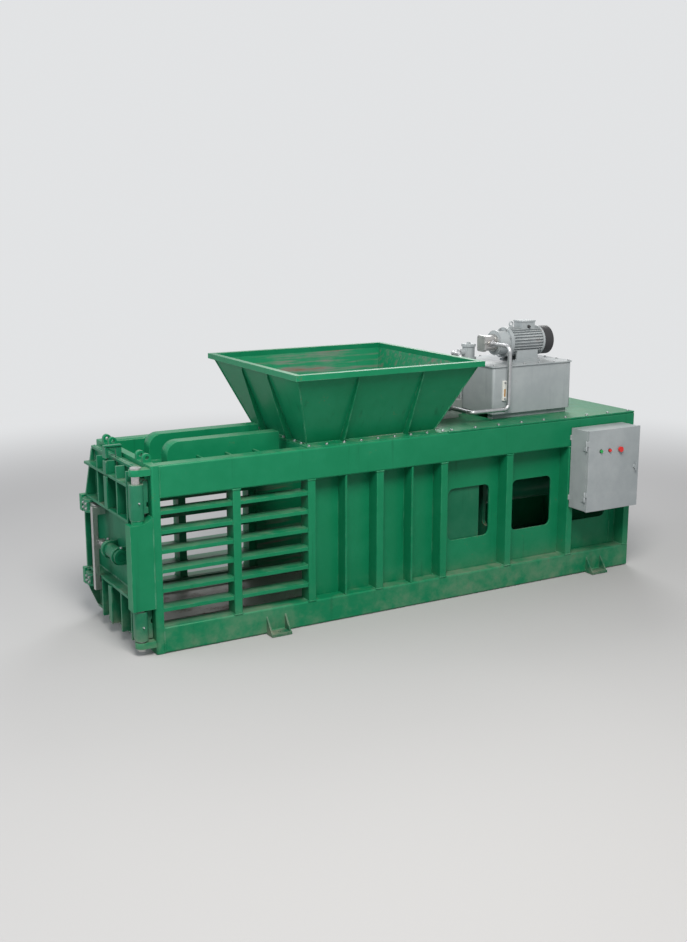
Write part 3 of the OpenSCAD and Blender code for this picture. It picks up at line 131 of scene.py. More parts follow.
class Shade:
    """The node tree of one material, built from its patterns to its surface."""

    def __init__(self, name):
        self.material = bpy.data.materials.new(name)
        self.material.use_nodes = True
        self.tree = self.material.node_tree
        self.tree.nodes.clear()
        self.place = self.add("ShaderNodeTexCoord", {}, {}, "Object")

    def add(self, kind, settings, inputs, output=0):
        node = self.tree.nodes.new(kind)
        for name, setting in settings.items():
            setattr(node, name, setting)
        for name, given in inputs.items():
            if isinstance(given, Value):
                self.tree.links.new(given.socket, node.inputs[name])
            else:
                node.inputs[name].default_value = given
        return Value(self, node.outputs[output]) if len(node.outputs) else node

    def sum(self, operation, a, b):
        return self.add("ShaderNodeMath", {"operation": operation}, {0: a, 1: b})

    def clamp(self, value):
        return self.add("ShaderNodeClamp", {}, {"Value": value})

    def step(self, value, low, high):
        """0 below low, 1 above high, and a soft slope between them.

        It runs the other way round if low is above high.
        """
        inputs = {"Value": value, "From Min": low, "From Max": high, "To Min": 0.0, "To Max": 1.0}
        if low > high:
            inputs.update({"From Min": high, "From Max": low, "To Min": 1.0, "To Max": 0.0})
        return self.add("ShaderNodeMapRange", {"interpolation_type": "SMOOTHSTEP"}, inputs)

    def stretched(self, x, y, z):
        return self.add("ShaderNodeVectorMath", {"operation": "MULTIPLY"}, {0: self.place, 1: (x, y, z)})

    def noise(self, scale, detail, roughness=0.55, place=None):
        inputs = {"Vector": place or self.place, "Scale": scale, "Detail": detail, "Roughness": roughness}
        return self.add("ShaderNodeTexNoise", {}, inputs)

    def mix(self, mask, a, b):
        return self.add("ShaderNodeMix", {"data_type": "RGBA"}, {0: mask, 6: a, 7: b}, 2)

    def part(self, axis):
        return self.add("ShaderNodeSeparateXYZ", {}, {0: self.place}, axis)

    def facing(self, axis):
        """How far the surface faces along an axis, from -1 to 1."""
        normal = self.add("ShaderNodeNewGeometry", {}, {}, "Normal")
        return self.add("ShaderNodeSeparateXYZ", {}, {0: normal}, axis)

    def edges(self, radius):
        """Close to 1 where the surface turns a sharp corner within the radius."""
        rounded = self.add("ShaderNodeBevel", {"samples": 6}, {"Radius": radius})
        flat = self.add("ShaderNodeNewGeometry", {}, {}, "Normal")
        same = self.add("ShaderNodeVectorMath", {"operation": "DOT_PRODUCT"}, {0: rounded, 1: flat}, "Value")
        return self.clamp((1 - same) * 6.0)

    def bump(self, height, strength, distance):
        return self.add("ShaderNodeBump", {}, {"Height": height, "Strength": strength, "Distance": distance})

    def surface(self, inputs):
        shader = self.add("ShaderNodeBsdfPrincipled", {}, inputs)
        self.add("ShaderNodeOutputMaterial", {}, {"Surface": shader})
        return self.material


def colour(r, g, b):
    return (r, g, b, 1.0)


# %% [markdown]
# ## Green enamel on heavy plate
#
# The machine's paint is a strong bluish green enamel. It has faded in soft patches, it is rubbed pale
# along the edges, a little rust shows where it is chipped, and pale dust from the waste lies low down and
# on flat tops.


# %% Enamel paint
RUST = colour(0.16, 0.055, 0.018)
DUST = colour(0.27, 0.24, 0.19)
SCRAPED = colour(0.17, 0.165, 0.15)


def tread_lugs(shade, pitch):
    """Raised lens-shaped lugs on a square grid, turned one way and the other in turn, as on tread plate."""
    x, y = shade.part("X"), shade.part("Y")
    u, v = (x + y) / pitch, (x - y) / pitch
    cell_u, cell_v = shade.sum("FLOOR", u, 0.0), shade.sum("FLOOR", v, 0.0)
    turned = shade.sum("PINGPONG", cell_u + cell_v, 1.0)
    off_u, off_v = u - cell_u - 0.5, v - cell_v - 0.5
    long_u = (off_u * off_u) / 0.17 + (off_v * off_v) / 0.016
    long_v = (off_v * off_v) / 0.17 + (off_u * off_u) / 0.016
    return shade.step(long_u * (1 - turned) + long_v * turned, 1.15, 0.75)


def enamel(name, fresh, faded, rubbed, wear=1.0, dirt=1.0, scraped=None, lugs=False):
    """Paint with fading, dark runs, rubbed edges, chips and dust.

    scraped is a function for the mask of where waste has bared the steel.
    """
    shade = Shade(name)
    patches = shade.noise(1.3, 5.0)
    mottle = shade.noise(9.0, 6.0, 0.6)
    runs = shade.noise(1.0, 4.0, 0.6, shade.stretched(16.0, 16.0, 1.1))
    grain = shade.noise(60.0, 3.0)
    body = shade.mix(shade.step(patches * 0.7 + mottle * 0.3, 0.38, 0.68), fresh, faded)
    deep = colour(*(level * 0.42 for level in fresh[:3]))
    body = shade.mix(shade.step(runs, 0.58, 0.80) * (0.55 * dirt), body, deep)

    edge = shade.edges(0.006)
    rubbed_mask = shade.clamp(edge * shade.step(mottle, 0.42, 0.64) * wear)
    body = shade.mix(rubbed_mask, body, rubbed)
    chips = shade.step(mottle * 0.6 + grain * 0.4, 0.60, 0.66) * shade.step(patches, 0.44, 0.62)
    chips = shade.clamp(chips * (0.25 + edge * 1.5) * wear)
    body = shade.mix(chips, body, RUST)

    low = shade.step(shade.part("Z"), 0.36, 0.0)
    tops = shade.step(shade.facing("Z"), 0.7, 0.98)
    spread = shade.step(mottle * 0.5 + patches * 0.5, 0.40, 0.68)
    dust = shade.clamp((low * 0.36 + tops * 0.28) * spread * dirt)
    body = shade.mix(dust, body, DUST)

    rough = mottle * 0.20 + 0.27 + dust * 0.45 + chips * 0.35 + rubbed_mask * 0.12
    relief = shade.noise(240.0, 2.0) * 0.35 + mottle * 0.65 - chips * 0.5
    metallic = 0.0
    if scraped:
        streaks = shade.noise(1.0, 5.0, 0.65, shade.stretched(2.0, 26.0, 26.0))
        bare = shade.clamp(scraped(shade) * shade.step(streaks * 0.6 + patches * 0.4, 0.46, 0.66))
        body = shade.mix(bare, body, shade.mix(shade.step(streaks, 0.58, 0.80), SCRAPED, RUST))
        metallic = bare * 0.35
        rough = rough + bare * 0.10
    if lugs:
        relief = relief * 0.25 + tread_lugs(shade, 0.030) * 2.0
    return shade.surface({
        "Base Color": body, "Roughness": shade.clamp(rough), "Metallic": metallic, "Coat Weight": 0.03,
        "Specular IOR Level": 0.16, "Normal": shade.bump(relief, 0.25, 0.0015),
    })


def inner_wall(shade):
    """The faces of the side walls that look into the chamber."""
    return shade.step(shade.sum("ABSOLUTE", shade.part("Y"), 0.0), 0.4320, 0.4305)


def slide_face(shade):
    """Faces that lean so that waste slides down them."""
    return shade.step(shade.facing("Z"), 0.12, 0.40) * shade.step(shade.facing("Z"), 0.96, 0.80)


GREEN = colour(0.0040, 0.162, 0.068)
GREEN_FADED = colour(0.0090, 0.190, 0.086)
GREEN_RUBBED = colour(0.10, 0.28, 0.18)
frame_enamel = enamel("frame_enamel", GREEN, GREEN_FADED, GREEN_RUBBED)
wall_enamel = enamel("wall_enamel", GREEN, GREEN_FADED, GREEN_RUBBED, scraped=inner_wall)
hopper_enamel = enamel("hopper_enamel", GREEN, GREEN_FADED, GREEN_RUBBED, scraped=slide_face)
deck_enamel = enamel("deck_enamel", GREEN, GREEN_FADED, GREEN_RUBBED, lugs=True)
door_enamel = enamel(
    "door_enamel", colour(0.0060, 0.128, 0.060), colour(0.0260, 0.170, 0.096), colour(0.17, 0.29, 0.22),
    wear=1.9, dirt=1.7,
)
# The parts inside the machine get a darker copy of the same green, which is painted shade.
shaded_inner_enamel = enamel(
    "shaded_inner_enamel", colour(0.005, 0.110, 0.052), colour(0.020, 0.140, 0.074), colour(0.16, 0.24, 0.18),
    wear=1.6, dirt=1.5,
)
unit_enamel = enamel(
    "unit_enamel", colour(0.27, 0.30, 0.31), colour(0.34, 0.37, 0.38), colour(0.50, 0.52, 0.52),
    wear=0.6, dirt=0.5,
)
print(len(bpy.data.materials), "materials with the enamels")

# %% [markdown]
# ## Bare and bright steel
#
# The floor, the blades and the lock bolts are bare plate that sliding waste has rubbed. Rolled plate has
# a fine lengthwise grain, which a noise stretched along the machine draws. Rods are hard chromed and
# nearly clean.


# %% Steel finishes
def bare_steel(name, tone, rust, grain_along, roughness):
    shade = Shade(name)
    scratches = shade.noise(1.0, 5.0, 0.65, shade.stretched(*grain_along))
    patches = shade.noise(5.0, 5.0, 0.6)
    fine = shade.noise(70.0, 3.0)
    dark, light = colour(*(c * 0.72 for c in tone)), colour(*(min(1.0, c * 1.2) for c in tone))
    metal = shade.mix(scratches, dark, light)
    stain = shade.clamp(shade.step(patches * 0.7 + fine * 0.3, 0.50, 0.66) * rust)
    body = shade.mix(stain, metal, RUST)
    rough = shade.clamp(scratches * 0.25 + roughness + stain * 0.35)
    normal = shade.bump(scratches * 0.6 + fine * 0.4, 0.18, 0.001)
    metallic = shade.clamp(0.95 - stain * 0.8)
    return shade.surface({"Base Color": body, "Metallic": metallic, "Roughness": rough, "Normal": normal})


plate_steel = bare_steel("plate_steel", (0.42, 0.41, 0.39), 0.65, (3.0, 90.0, 90.0), 0.30)
machined_steel = bare_steel("machined_steel", (0.50, 0.50, 0.49), 0.12, (60.0, 60.0, 60.0), 0.22)
zinc_steel = bare_steel("zinc_steel", (0.46, 0.47, 0.48), 0.06, (25.0, 25.0, 25.0), 0.28)
chrome_rod = bare_steel("chrome_rod", (0.72, 0.72, 0.73), 0.0, (6.0, 120.0, 120.0), 0.06)
bronze_pad = bare_steel("bronze_pad", (0.60, 0.40, 0.17), 0.0, (8.0, 80.0, 80.0), 0.28)
print(len(bpy.data.materials), "materials with the steels")


# %% [markdown]
# ## Plastics
#
# Knobs, the fan and the buttons are moulded. Moulded plastic has a faint leather grain and a slight
# sheen.


# %% Moulded plastic
def moulded(name, tone, roughness, coat=0.0):
    shade = Shade(name)
    grain = shade.noise(420.0, 2.0)
    cloud = shade.noise(12.0, 3.0)
    body = shade.mix(cloud, colour(*(c * 0.85 for c in tone)), colour(*(min(1.0, c * 1.12) for c in tone)))
    rough = shade.clamp(grain * 0.12 + cloud * 0.08 + roughness)
    normal = shade.bump(grain, 0.12, 0.0004)
    return shade.surface({"Base Color": body, "Roughness": rough, "Coat Weight": coat, "Normal": normal})


black_plastic = moulded("black_plastic", (0.022, 0.022, 0.024), 0.40)
grey_plastic = moulded("grey_plastic", (0.42, 0.43, 0.44), 0.42)
white_plastic = moulded("white_plastic", (0.72, 0.72, 0.68), 0.32)
red_plastic = moulded("red_plastic", (0.60, 0.018, 0.014), 0.28)
green_plastic = moulded("green_plastic", (0.015, 0.32, 0.07), 0.28)
dial_white = moulded("dial_white", (0.74, 0.74, 0.71), 0.34, coat=1.0)
print(len(bpy.data.materials), "materials with the plastics")

# %% [markdown]
# ## Each solid gets its finish
#
# The record names a material slot for every solid, so one table from slot to finish dresses the whole
# machine.

# %% Assign the finishes
FINISH = {
    "frame_paint": frame_enamel,
    "door_paint": door_enamel,
    "inner_paint": shaded_inner_enamel,
    "plain_steel": plate_steel,
    "bright_steel": chrome_rod,
    "unit_paint": unit_enamel,
    "dark_plastic": black_plastic,
    "bearing_bronze": bronze_pad,
    "pipe_steel": zinc_steel,
    "gauge_white": white_plastic,
    "switchgear": grey_plastic,
    "start_green": green_plastic,
    "stop_red": red_plastic,
}
for part in frame["record"]["subparts"]:
    solid = nodes[part["node"]]
    solid.data.materials.clear()
    solid.data.materials.append(FINISH[part["material_slot"]])
OWN_FINISH = {
    machined_steel: (
        "lock_bolts", "hinge_pin", "frame_bolts", "pump", "valve_block", "pressure_gauge", "motor_shaft",
    ),
    wall_enamel: ("tie_bars", "feed_walls"),
    hopper_enamel: ("hopper",),
    deck_enamel: ("rear_deck",),
}
for finish, names in OWN_FINISH.items():
    for name in names:
        nodes[name].data.materials[0] = finish
print(len(nodes), "solids dressed")

# %% [markdown]
# ## Broken edges
#
# No edge on welded plate is razor sharp: it is ground or rolled to a small radius that catches the light.
# The solids are loose triangles, so their flat faces are first joined, and then a small bevel is laid on
# the corners.


# %% Bevel the plate work
DOUBLES = 0.00001
FLAT_ANGLE = math.radians(0.5)
PLATE_CORNER = math.radians(50)


def break_edges(solid, width):
    weld = solid.modifiers.new("weld", "WELD")
    weld.merge_threshold = DOUBLES
    flat = solid.modifiers.new("flat", "DECIMATE")
    flat.decimate_type = "DISSOLVE"
    flat.angle_limit = FLAT_ANGLE
    bevel = solid.modifiers.new("bevel", "BEVEL")
    bevel.width = width
    bevel.segments = 2
    bevel.limit_method = "ANGLE"
    bevel.angle_limit = PLATE_CORNER
    bevel.harden_normals = True


PLATE_WORK = {
    0.0040: ("base_rails", "top_rails", "hinge_brackets"),
    0.0030: ("side_posts", "cross_beams", "tie_bars", "chamber_roof", "roof_stiffeners", "door_leaf",
             "lock_guides", "lock_keepers", "rear_crosshead", "lock_bolts", "ram_body", "rear_deck"),
    0.0025: ("door_ribs", "door_shelves", "roof_ribs", "base_cross_members", "cylinder_support"),
    0.0020: ("feed_walls", "rear_walls", "anchor_feet", "oil_tank", "tank_lid", "valve_block", "pipe_clamps"),
    0.0010: ("cabinet_box", "cabinet_door"),
}
for width, names in PLATE_WORK.items():
    for name in names:
        break_edges(nodes[name], width)
print(sum(len(names) for names in PLATE_WORK.values()), "solids have broken edges")

# %% [markdown]
# ## Making and joining small pieces
#
# Small pieces are cylinders, rings and rounded blocks with softened edges. Each is made at the origin and
# turned to face along a direction, and the pieces of one kind on one body are joined into a single object
# at the end.


# %% Small shapes
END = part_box("side_posts")[0].x
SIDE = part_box("top_rails")[1].y
LINING = -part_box("rear_walls")[0].y
UP, DOWN = (0, 0, 1), (0, 0, -1)
NEAR, FAR = (0, -1, 0), (0, 1, 0)
FRONT, REAR = (-1, 0, 0), (1, 0, 0)
SMALL_CORNER = math.radians(35)
print("door end at", round(END, 3), "sides at", round(SIDE, 3), "lining at", round(LINING, 3))


def soften(part, width):
    bevel = part.modifiers.new("bevel", "BEVEL")
    bevel.width = width
    bevel.segments = 2
    bevel.limit_method = "ANGLE"
    bevel.angle_limit = SMALL_CORNER
    bpy.ops.object.shade_smooth_by_angle(angle=SMALL_CORNER)
    return part


def stand(part, place, direction):
    """Puts the part at a place, with its own Z axis along a direction."""
    part.location = place
    part.rotation_mode = "QUATERNION"
    part.rotation_quaternion = Vector(direction).to_track_quat("Z", "Y")
    return part


def cylinder(radius, depth, place, direction=UP, vertices=36, soft=0.001):
    """A cylinder whose foot is at the place and whose top is a depth further along the direction."""
    foot = Vector(place) + Vector(direction).normalized() * depth / 2
    bpy.ops.mesh.primitive_cylinder_add(vertices=vertices, radius=radius, depth=depth)
    return stand(soften(bpy.context.object, soft), foot, direction)


def ring(radius, thickness, place, direction):
    bpy.ops.mesh.primitive_torus_add(
        major_radius=radius, minor_radius=thickness, major_segments=40, minor_segments=10
    )
    bpy.ops.object.shade_smooth()
    return stand(bpy.context.object, place, direction)


def slab(low, high, soft):
    """A rounded block between two corners."""
    bpy.ops.mesh.primitive_cube_add(size=1, location=(Vector(low) + Vector(high)) / 2)
    part = bpy.context.object
    part.scale = Vector(high) - Vector(low)
    bpy.ops.object.transform_apply(location=False, rotation=False, scale=True)
    return soften(part, soft)


def dome(radius, place, direction):
    bpy.ops.mesh.primitive_uv_sphere_add(segments=24, ring_count=12, radius=radius)
    bpy.ops.object.shade_smooth()
    return stand(bpy.context.object, place, direction)


def fuse(parts):
    """Gives each part its modifiers and its place, and joins all of them into one object at the origin."""
    bpy.ops.object.select_all(action="DESELECT")
    for part in parts:
        part.select_set(True)
    bpy.context.view_layer.objects.active = parts[0]
    bpy.ops.object.make_single_user(object=True, obdata=True)
    bpy.ops.object.convert(target="MESH")
    bpy.ops.object.transform_apply(location=True, rotation=True, scale=True)
    if len(parts) > 1:
        bpy.ops.object.join()
    return bpy.context.object


def piece(name, parts, body, finish):
    """Fuses the parts into one named piece with its finish, which rides on a body."""
    made = fuse(parts)
    made.name = name
    made.data.materials.clear()
    made.data.materials.append(finish)
    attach(made, body)
    print(name, "has", sum(len(face.vertices) - 2 for face in made.data.polygons), "triangles")
    return made


def copies(template, spots, size):
    """One copy of the template at each (place, direction), scaled to a size."""
    made = []
    for place, direction in spots:
        copy = stand(template.copy(), place, direction)
        copy.scale = (size, size, size)
        bpy.context.scene.collection.objects.link(copy)
        made.append(copy)
    return made


def solid_boxes(name):
    """The lowest and highest corner of each separate solid in a CAD node."""
    copy = nodes[name].copy()
    copy.data = nodes[name].data.copy()
    copy.modifiers.clear()
    bpy.context.scene.collection.objects.link(copy)
    bpy.ops.object.select_all(action="DESELECT")
    copy.select_set(True)
    bpy.context.view_layer.objects.active = copy
    bpy.ops.object.mode_set(mode="EDIT")
    bpy.ops.mesh.select_all(action="SELECT")
    bpy.ops.mesh.remove_doubles(threshold=DOUBLES)
    bpy.ops.mesh.separate(type="LOOSE")
    bpy.ops.object.mode_set(mode="OBJECT")
    boxes = []
    for part in list(bpy.context.selected_objects):
        corners = [vertex.co for vertex in part.data.vertices]
        low = Vector(min(corner[axis] for corner in corners) for axis in range(3))
        high = Vector(max(corner[axis] for corner in corners) for axis in range(3))
        boxes.append((low, high))
        bpy.data.objects.remove(part)
    return boxes


# %% [markdown]
# ## Weld seams
#
# Heavy plate is joined by fillet welds. A bead is a row of small overlapping ripples, so one ripple is
# copied with an Array modifier along each joint. The joints are found from the boxes of the solids that
# meet there.

# %% One bead
WELD = 0.006
STEP = 1.15
bpy.ops.mesh.primitive_uv_sphere_add(segments=8, ring_count=5, radius=1)
bpy.ops.object.shade_smooth()
ripple = bpy.context.object


def seam(start, end):
    """A bead of ripples from start to end."""
    start, end = Vector(start), Vector(end)
    bead = ripple.copy()
    bpy.context.scene.collection.objects.link(bead)
    bead.location = start
    bead.scale = (WELD, WELD, WELD)
    bead.rotation_mode = "QUATERNION"
    bead.rotation_quaternion = (end - start).to_track_quat("X", "Z")
    row = bead.modifiers.new("row", "ARRAY")
    row.use_relative_offset = False
    row.use_constant_offset = True
    row.constant_offset_displace = (STEP, 0, 0)
    row.count = max(2, round((end - start).length / (WELD * STEP)))
    return bead


# %% [markdown]
# The door's shelves and ribs stand on its leaf, with a bead along each side. A wide rib is a web with a
# flange on it, so it has a second pair of beads behind the flange.

# %% Welds on the door
TOUCHING = 0.001
FLANGED = 0.05
RIB_HALF = 0.010
LEAF_EDGE = 0.01
FLANGE = 0.012
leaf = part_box("door_leaf")
leaf_out = leaf[0].x
door_seams = []
for low, high in solid_boxes("door_shelves"):
    if abs(high.x - leaf_out) < TOUCHING:
        for z in (low.z, high.z):
            door_seams.append(seam((leaf_out, low.y + WELD, z), (leaf_out, high.y - WELD, z)))
for low, high in solid_boxes("door_ribs"):
    if abs(high.x - leaf_out) > TOUCHING:
        continue
    half = RIB_HALF if high.y - low.y > FLANGED else (high.y - low.y) / 2
    middle_y = (low.y + high.y) / 2
    for y in (middle_y - half, middle_y + half):
        if leaf[1].y - y > LEAF_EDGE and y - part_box("door_shelves")[0].y > LEAF_EDGE:
            door_seams.append(seam((leaf_out, y, low.z), (leaf_out, y, high.z)))
            if high.y - low.y > FLANGED:
                flange_x = low.x + FLANGE
                door_seams.append(seam((flange_x, y, low.z), (flange_x, y, high.z)))
piece("door_welds", door_seams, "door", door_enamel)

# %% [markdown]
# The posts stand between the rails, with a bead along each edge where they meet. The posts of the door
# end reach the floor, so their beads run upright beside the rails instead.

# %% Welds on the posts
ON_FLOOR = 0.01
RAIL_CLEAR = 0.012
END_CLEAR = 0.008
post_seams = []
near_posts = []
frame_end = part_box("base_rails")[1].x
for low, high in solid_boxes("side_posts"):
    side = 1 if low.y > 0 else -1
    outer, inner = side * SIDE, side * LINING
    if side < 0:
        near_posts.append((low.x, high.x))
    if low.z < ON_FLOOR:
        for rail in ("base_rails", "top_rails"):
            rail_low, rail_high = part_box(rail)
            start = (high.x, outer, rail_low.z + RAIL_CLEAR)
            post_seams.append(seam(start, (high.x, outer, rail_high.z - RAIL_CLEAR)))
        continue
    for z in (low.z, high.z):
        post_seams.append(seam((low.x, outer, z), (min(high.x, frame_end - END_CLEAR), outer, z)))
        for x in (low.x, high.x):
            # the rear post is flush with the end of the rails, so it has no seam on that face
            if x < frame_end - END_CLEAR:
                post_seams.append(seam((x, inner, z), (x, outer, z)))
piece("post_welds", post_seams, "frame", frame_enamel)

# %% [markdown]
# Each wall strip of the chamber carries a fin in both bays between the first three posts, level with its
# top. A fin is welded at its ends and tacked along its underside. The plates above and below the slots
# have no fin, and are told from the strips by their height.

# %% Welds on the tie bars
FIN = 0.028
FIN_BACK = 0.006
STRIP_HEIGHT = (0.040, 0.062)
TACKS = (0.08, 0.45, 0.82)
TACK_LENGTH = 0.06
near_posts.sort()
bays = [(before[1], after[0]) for before, after in zip(near_posts[:2], near_posts[1:3])]
tie_seams = []
for low, high in solid_boxes("tie_bars"):
    if not STRIP_HEIGHT[0] < high.z - low.z < STRIP_HEIGHT[1]:
        continue
    side = 1 if low.y > 0 else -1
    inner, outer = side * LINING, side * (SIDE - FIN_BACK)
    for start, end in bays:
        for x in (start, end):
            for z in (high.z - FIN, high.z):
                tie_seams.append(seam((x, inner, z), (x, outer, z)))
        for share in TACKS:
            x = start + (end - start) * share
            tie_seams.append(seam((x, inner, high.z - FIN), (x + TACK_LENGTH, inner, high.z - FIN)))
print(len(bays), "bays,", len(tie_seams), "seams on the tie bars")
piece("tie_bar_welds", tie_seams, "frame", wall_enamel)

# %% [markdown]
# The roof stiffeners, the lock's keepers, the feet and the hinge bracket have beads where they stand on
# the frame. The lining meets some posts only along an upright corner, so a bead closes that too.

# %% Welds on the rest of the frame
FOOT_PLATE = 0.020
BRACKET_Z = (0.335, 0.975)
frame_seams = []
for low, high in solid_boxes("roof_stiffeners"):
    for y in (low.y, high.y):
        frame_seams.append(seam((low.x, y, low.z), (high.x, y, low.z)))
for low, high in solid_boxes("lock_keepers"):
    for z in (low.z, high.z):
        frame_seams.append(seam((high.x, low.y, z), (high.x, high.y, z)))
for low, high in solid_boxes("anchor_feet"):
    y = SIDE if low.y > 0 else -SIDE
    frame_seams.append(seam((low.x, y, FOOT_PLATE), (high.x, y, FOOT_PLATE)))
bracket_low, bracket_high = ((END + 0.004, -SIDE + 0.003, z) for z in BRACKET_Z)
frame_seams.append(seam(bracket_low, bracket_high))
# Solids that meet only along an upright corner would let light through between their softened edges
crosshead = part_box("rear_crosshead")
rail_top, rail_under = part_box("base_rails")[1].z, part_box("top_rails")[0].z
corners_x = (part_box("feed_walls")[0].x, crosshead[0].x, near_posts[-1][0])
for side in (-1, 1):
    for x in corners_x:
        frame_seams.append(seam((x, side * LINING, rail_top), (x, side * LINING, rail_under)))
piece("frame_welds", frame_seams, "frame", frame_enamel)

# %% [markdown]
# The hopper's four sheets meet in leaning corners, and stand on a flange around the throat.

# %% Welds on the hopper
HOPPER_FLANGE = 0.010
FOOT_OUT, FOOT_SIDE = 0.006, 0.436
HOPPER_TOP = (0.7585, 0.706, 1.848)
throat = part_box("feed_walls")
throat_x = (throat[0].x + throat[1].x) / 2
flange_z = throat[1].z + HOPPER_FLANGE
foot_x, foot_y = (throat[1].x - throat[0].x) / 2 + FOOT_OUT, FOOT_SIDE
top_x, top_y, top_z = HOPPER_TOP
hopper_seams = []
for side in (-1, 1):
    y = side * foot_y
    hopper_seams.append(seam((throat_x - foot_x, y, flange_z), (throat_x + foot_x, y, flange_z)))
    x = throat_x + side * foot_x
    hopper_seams.append(seam((x, -foot_y, flange_z), (x, foot_y, flange_z)))
    for across in (-1, 1):
        top = (throat_x + side * top_x, across * top_y, top_z)
        hopper_seams.append(seam((x, across * foot_y, flange_z), top))
piece("hopper_welds", hopper_seams, "frame", hopper_enamel)
bpy.data.objects.remove(ripple)

# %% [markdown]
# ## Bolts
#
# Covers, flanges and the deck are held by hexagon bolts on washers. One bolt is modelled with the width
# of its head across the flats equal to 1, and each copy is scaled to its own size, so one small mesh
# serves them all.


# %% One bolt and its copies
bolt = fuse([
    cylinder(0.66, 0.14, (0, 0, 0), vertices=24, soft=0.03),
    cylinder(0.577, 0.42, (0, 0, 0.14), vertices=6, soft=0.05),
])


def row(start, end, count):
    """Evenly spaced places from start to end, both included."""
    start, end = Vector(start), Vector(end)
    return [start.lerp(end, i / (count - 1)) for i in range(count)]


def on_circle(centre, radius, count, direction, first):
    """Evenly spaced places on a circle that faces along a direction."""
    turned = Vector(direction).to_track_quat("Z", "Y")
    angles = [math.radians(first + 360 * i / count) for i in range(count)]
    return [Vector(centre) + turned @ Vector((math.cos(a), math.sin(a), 0)) * radius for a in angles]


def bolted(name, groups, across, body="frame"):
    """Bolts of one size, as groups of places that each have the direction which their heads face."""
    spots = [(place, direction) for places, direction in groups for place in places]
    return piece(name, copies(bolt, spots, across), body, zinc_steel)


# %% Bolts of the tank's lid
M6, M8, M10, M12, M16 = 0.010, 0.013, 0.017, 0.019, 0.024  # widths across the flats
LID_SHEET = 0.010
LID_EDGE = 0.028
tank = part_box("oil_tank")
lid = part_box("tank_lid")
lid_top = tank[1].z + LID_SHEET
lid_x = (lid[0].x + LID_EDGE, lid[1].x - LID_EDGE)
lid_y = lid[1].y - LID_EDGE
lid_places = []
for y in (-lid_y, lid_y):
    lid_places += row((lid_x[0], y, lid_top), (lid_x[1], y, lid_top), 6)
for x in lid_x:
    lid_places += row((x, -lid_y / 2, lid_top), (x, lid_y / 2, lid_top), 3)
bolted("tank_lid_bolts", [(lid_places, UP)], M10)

# %% Bolts of the motor and the pump
FOOT_RAIL = 0.016
FOOT_X, FOOT_Y = (0.050, 0.280), 0.0864
BELL_CIRCLE = 0.110
BELL_FLANGE, PUMP_FLANGE = 0.014, 0.018
PUMP_EARS = 0.059
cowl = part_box("fan_cowl")
shaft = (cowl[0] + cowl[1]) / 2
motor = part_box("motor_body")
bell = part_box("bell_housing")
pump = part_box("pump")
foot_places = [
    (motor[0].x + x, shaft.y + y, lid_top + FOOT_RAIL) for x in FOOT_X for y in (-FOOT_Y, FOOT_Y)
]
flange_places = on_circle((bell[1].x - BELL_FLANGE, shaft.y, shaft.z), BELL_CIRCLE, 8, FRONT, 22.5)
nose_places = [(pump[1].x - PUMP_FLANGE, shaft.y + y, shaft.z) for y in (-PUMP_EARS, PUMP_EARS)]
bolted("motor_bolts", [(foot_places, UP), (flange_places + nose_places, FRONT)], M8)

# %% Nuts and bolts of the valve block, the filter and the clamps
PORT_HEIGHT = 0.090
ROD_Y, ROD_Z = 0.070, 0.032
FILTER_IN, FILTER_CIRCLE = 0.065, 0.0585
CLAMP_HALF = 0.011
COVER_Y, COVER_Z = 0.038, 0.050
DRAIN_Y, DRAIN_Z = -0.120, 0.065
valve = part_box("valve_block")
line_z = valve[0].z + PORT_HEIGHT
tie_rods = [(y, line_z + z) for y in (-ROD_Y, ROD_Y) for z in (-ROD_Z, ROD_Z)]
front_nuts = [(valve[0].x, y, z) for y, z in tie_rods]
rear_nuts = [(valve[1].x, y, z) for y, z in tie_rods]
bolted("valve_block_nuts", [(front_nuts, FRONT), (rear_nuts, REAR)], M10)

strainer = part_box("return_filter")
strainer_y = (strainer[0].y + strainer[1].y) / 2
filter_middle = (strainer[1].x - FILTER_IN, strainer_y, lid_top + FOOT_RAIL)
filter_places = on_circle(filter_middle, FILTER_CIRCLE, 4, UP, 45)
clamp_places = [
    ((low.x + high.x) / 2 + x, (low.y + high.y) / 2, high.z)
    for low, high in solid_boxes("pipe_clamps") for x in (-CLAMP_HALF, CLAMP_HALF)
]
cover_places = [
    (pump[0].x, shaft.y + y, shaft.z + z) for y in (-COVER_Y, COVER_Y) for z in (-COVER_Z, COVER_Z)
]
bolted("small_bolts", [(filter_places + clamp_places, UP), (cover_places, FRONT)], M6)
bolted("drain_plug", [([(tank[1].x, DRAIN_Y, tank[0].z + DRAIN_Z)], REAR)], M16)

# %% Bolts of the deck and the hopper
DECK_EDGE = 0.045
DECK_Y, HOPPER_Y = 0.530, 0.520
HOPPER_END = 0.030
END_ROW = (0.12, 0.30, 0.40)
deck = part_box("rear_deck")
deck_x = (deck[0].x + DECK_EDGE, deck[1].x - DECK_EDGE)
deck_places = []
for y in (-DECK_Y, DECK_Y):
    deck_places += row((deck_x[0], y, deck[1].z), (deck_x[1], y, deck[1].z), 9)
bolted("deck_bolts", [(deck_places, UP)], M12)

ends_x = (throat[0].x - HOPPER_END, throat[1].x + HOPPER_END)
hopper_places = []
for y in (-HOPPER_Y, HOPPER_Y):
    hopper_places += row((ends_x[0], y, flange_z), (ends_x[1], y, flange_z), 9)
hopper_places += [(x, y * side, flange_z) for x in ends_x for side in (-1, 1) for y in END_ROW]
bolted("hopper_bolts", [(hopper_places, UP)], M12)

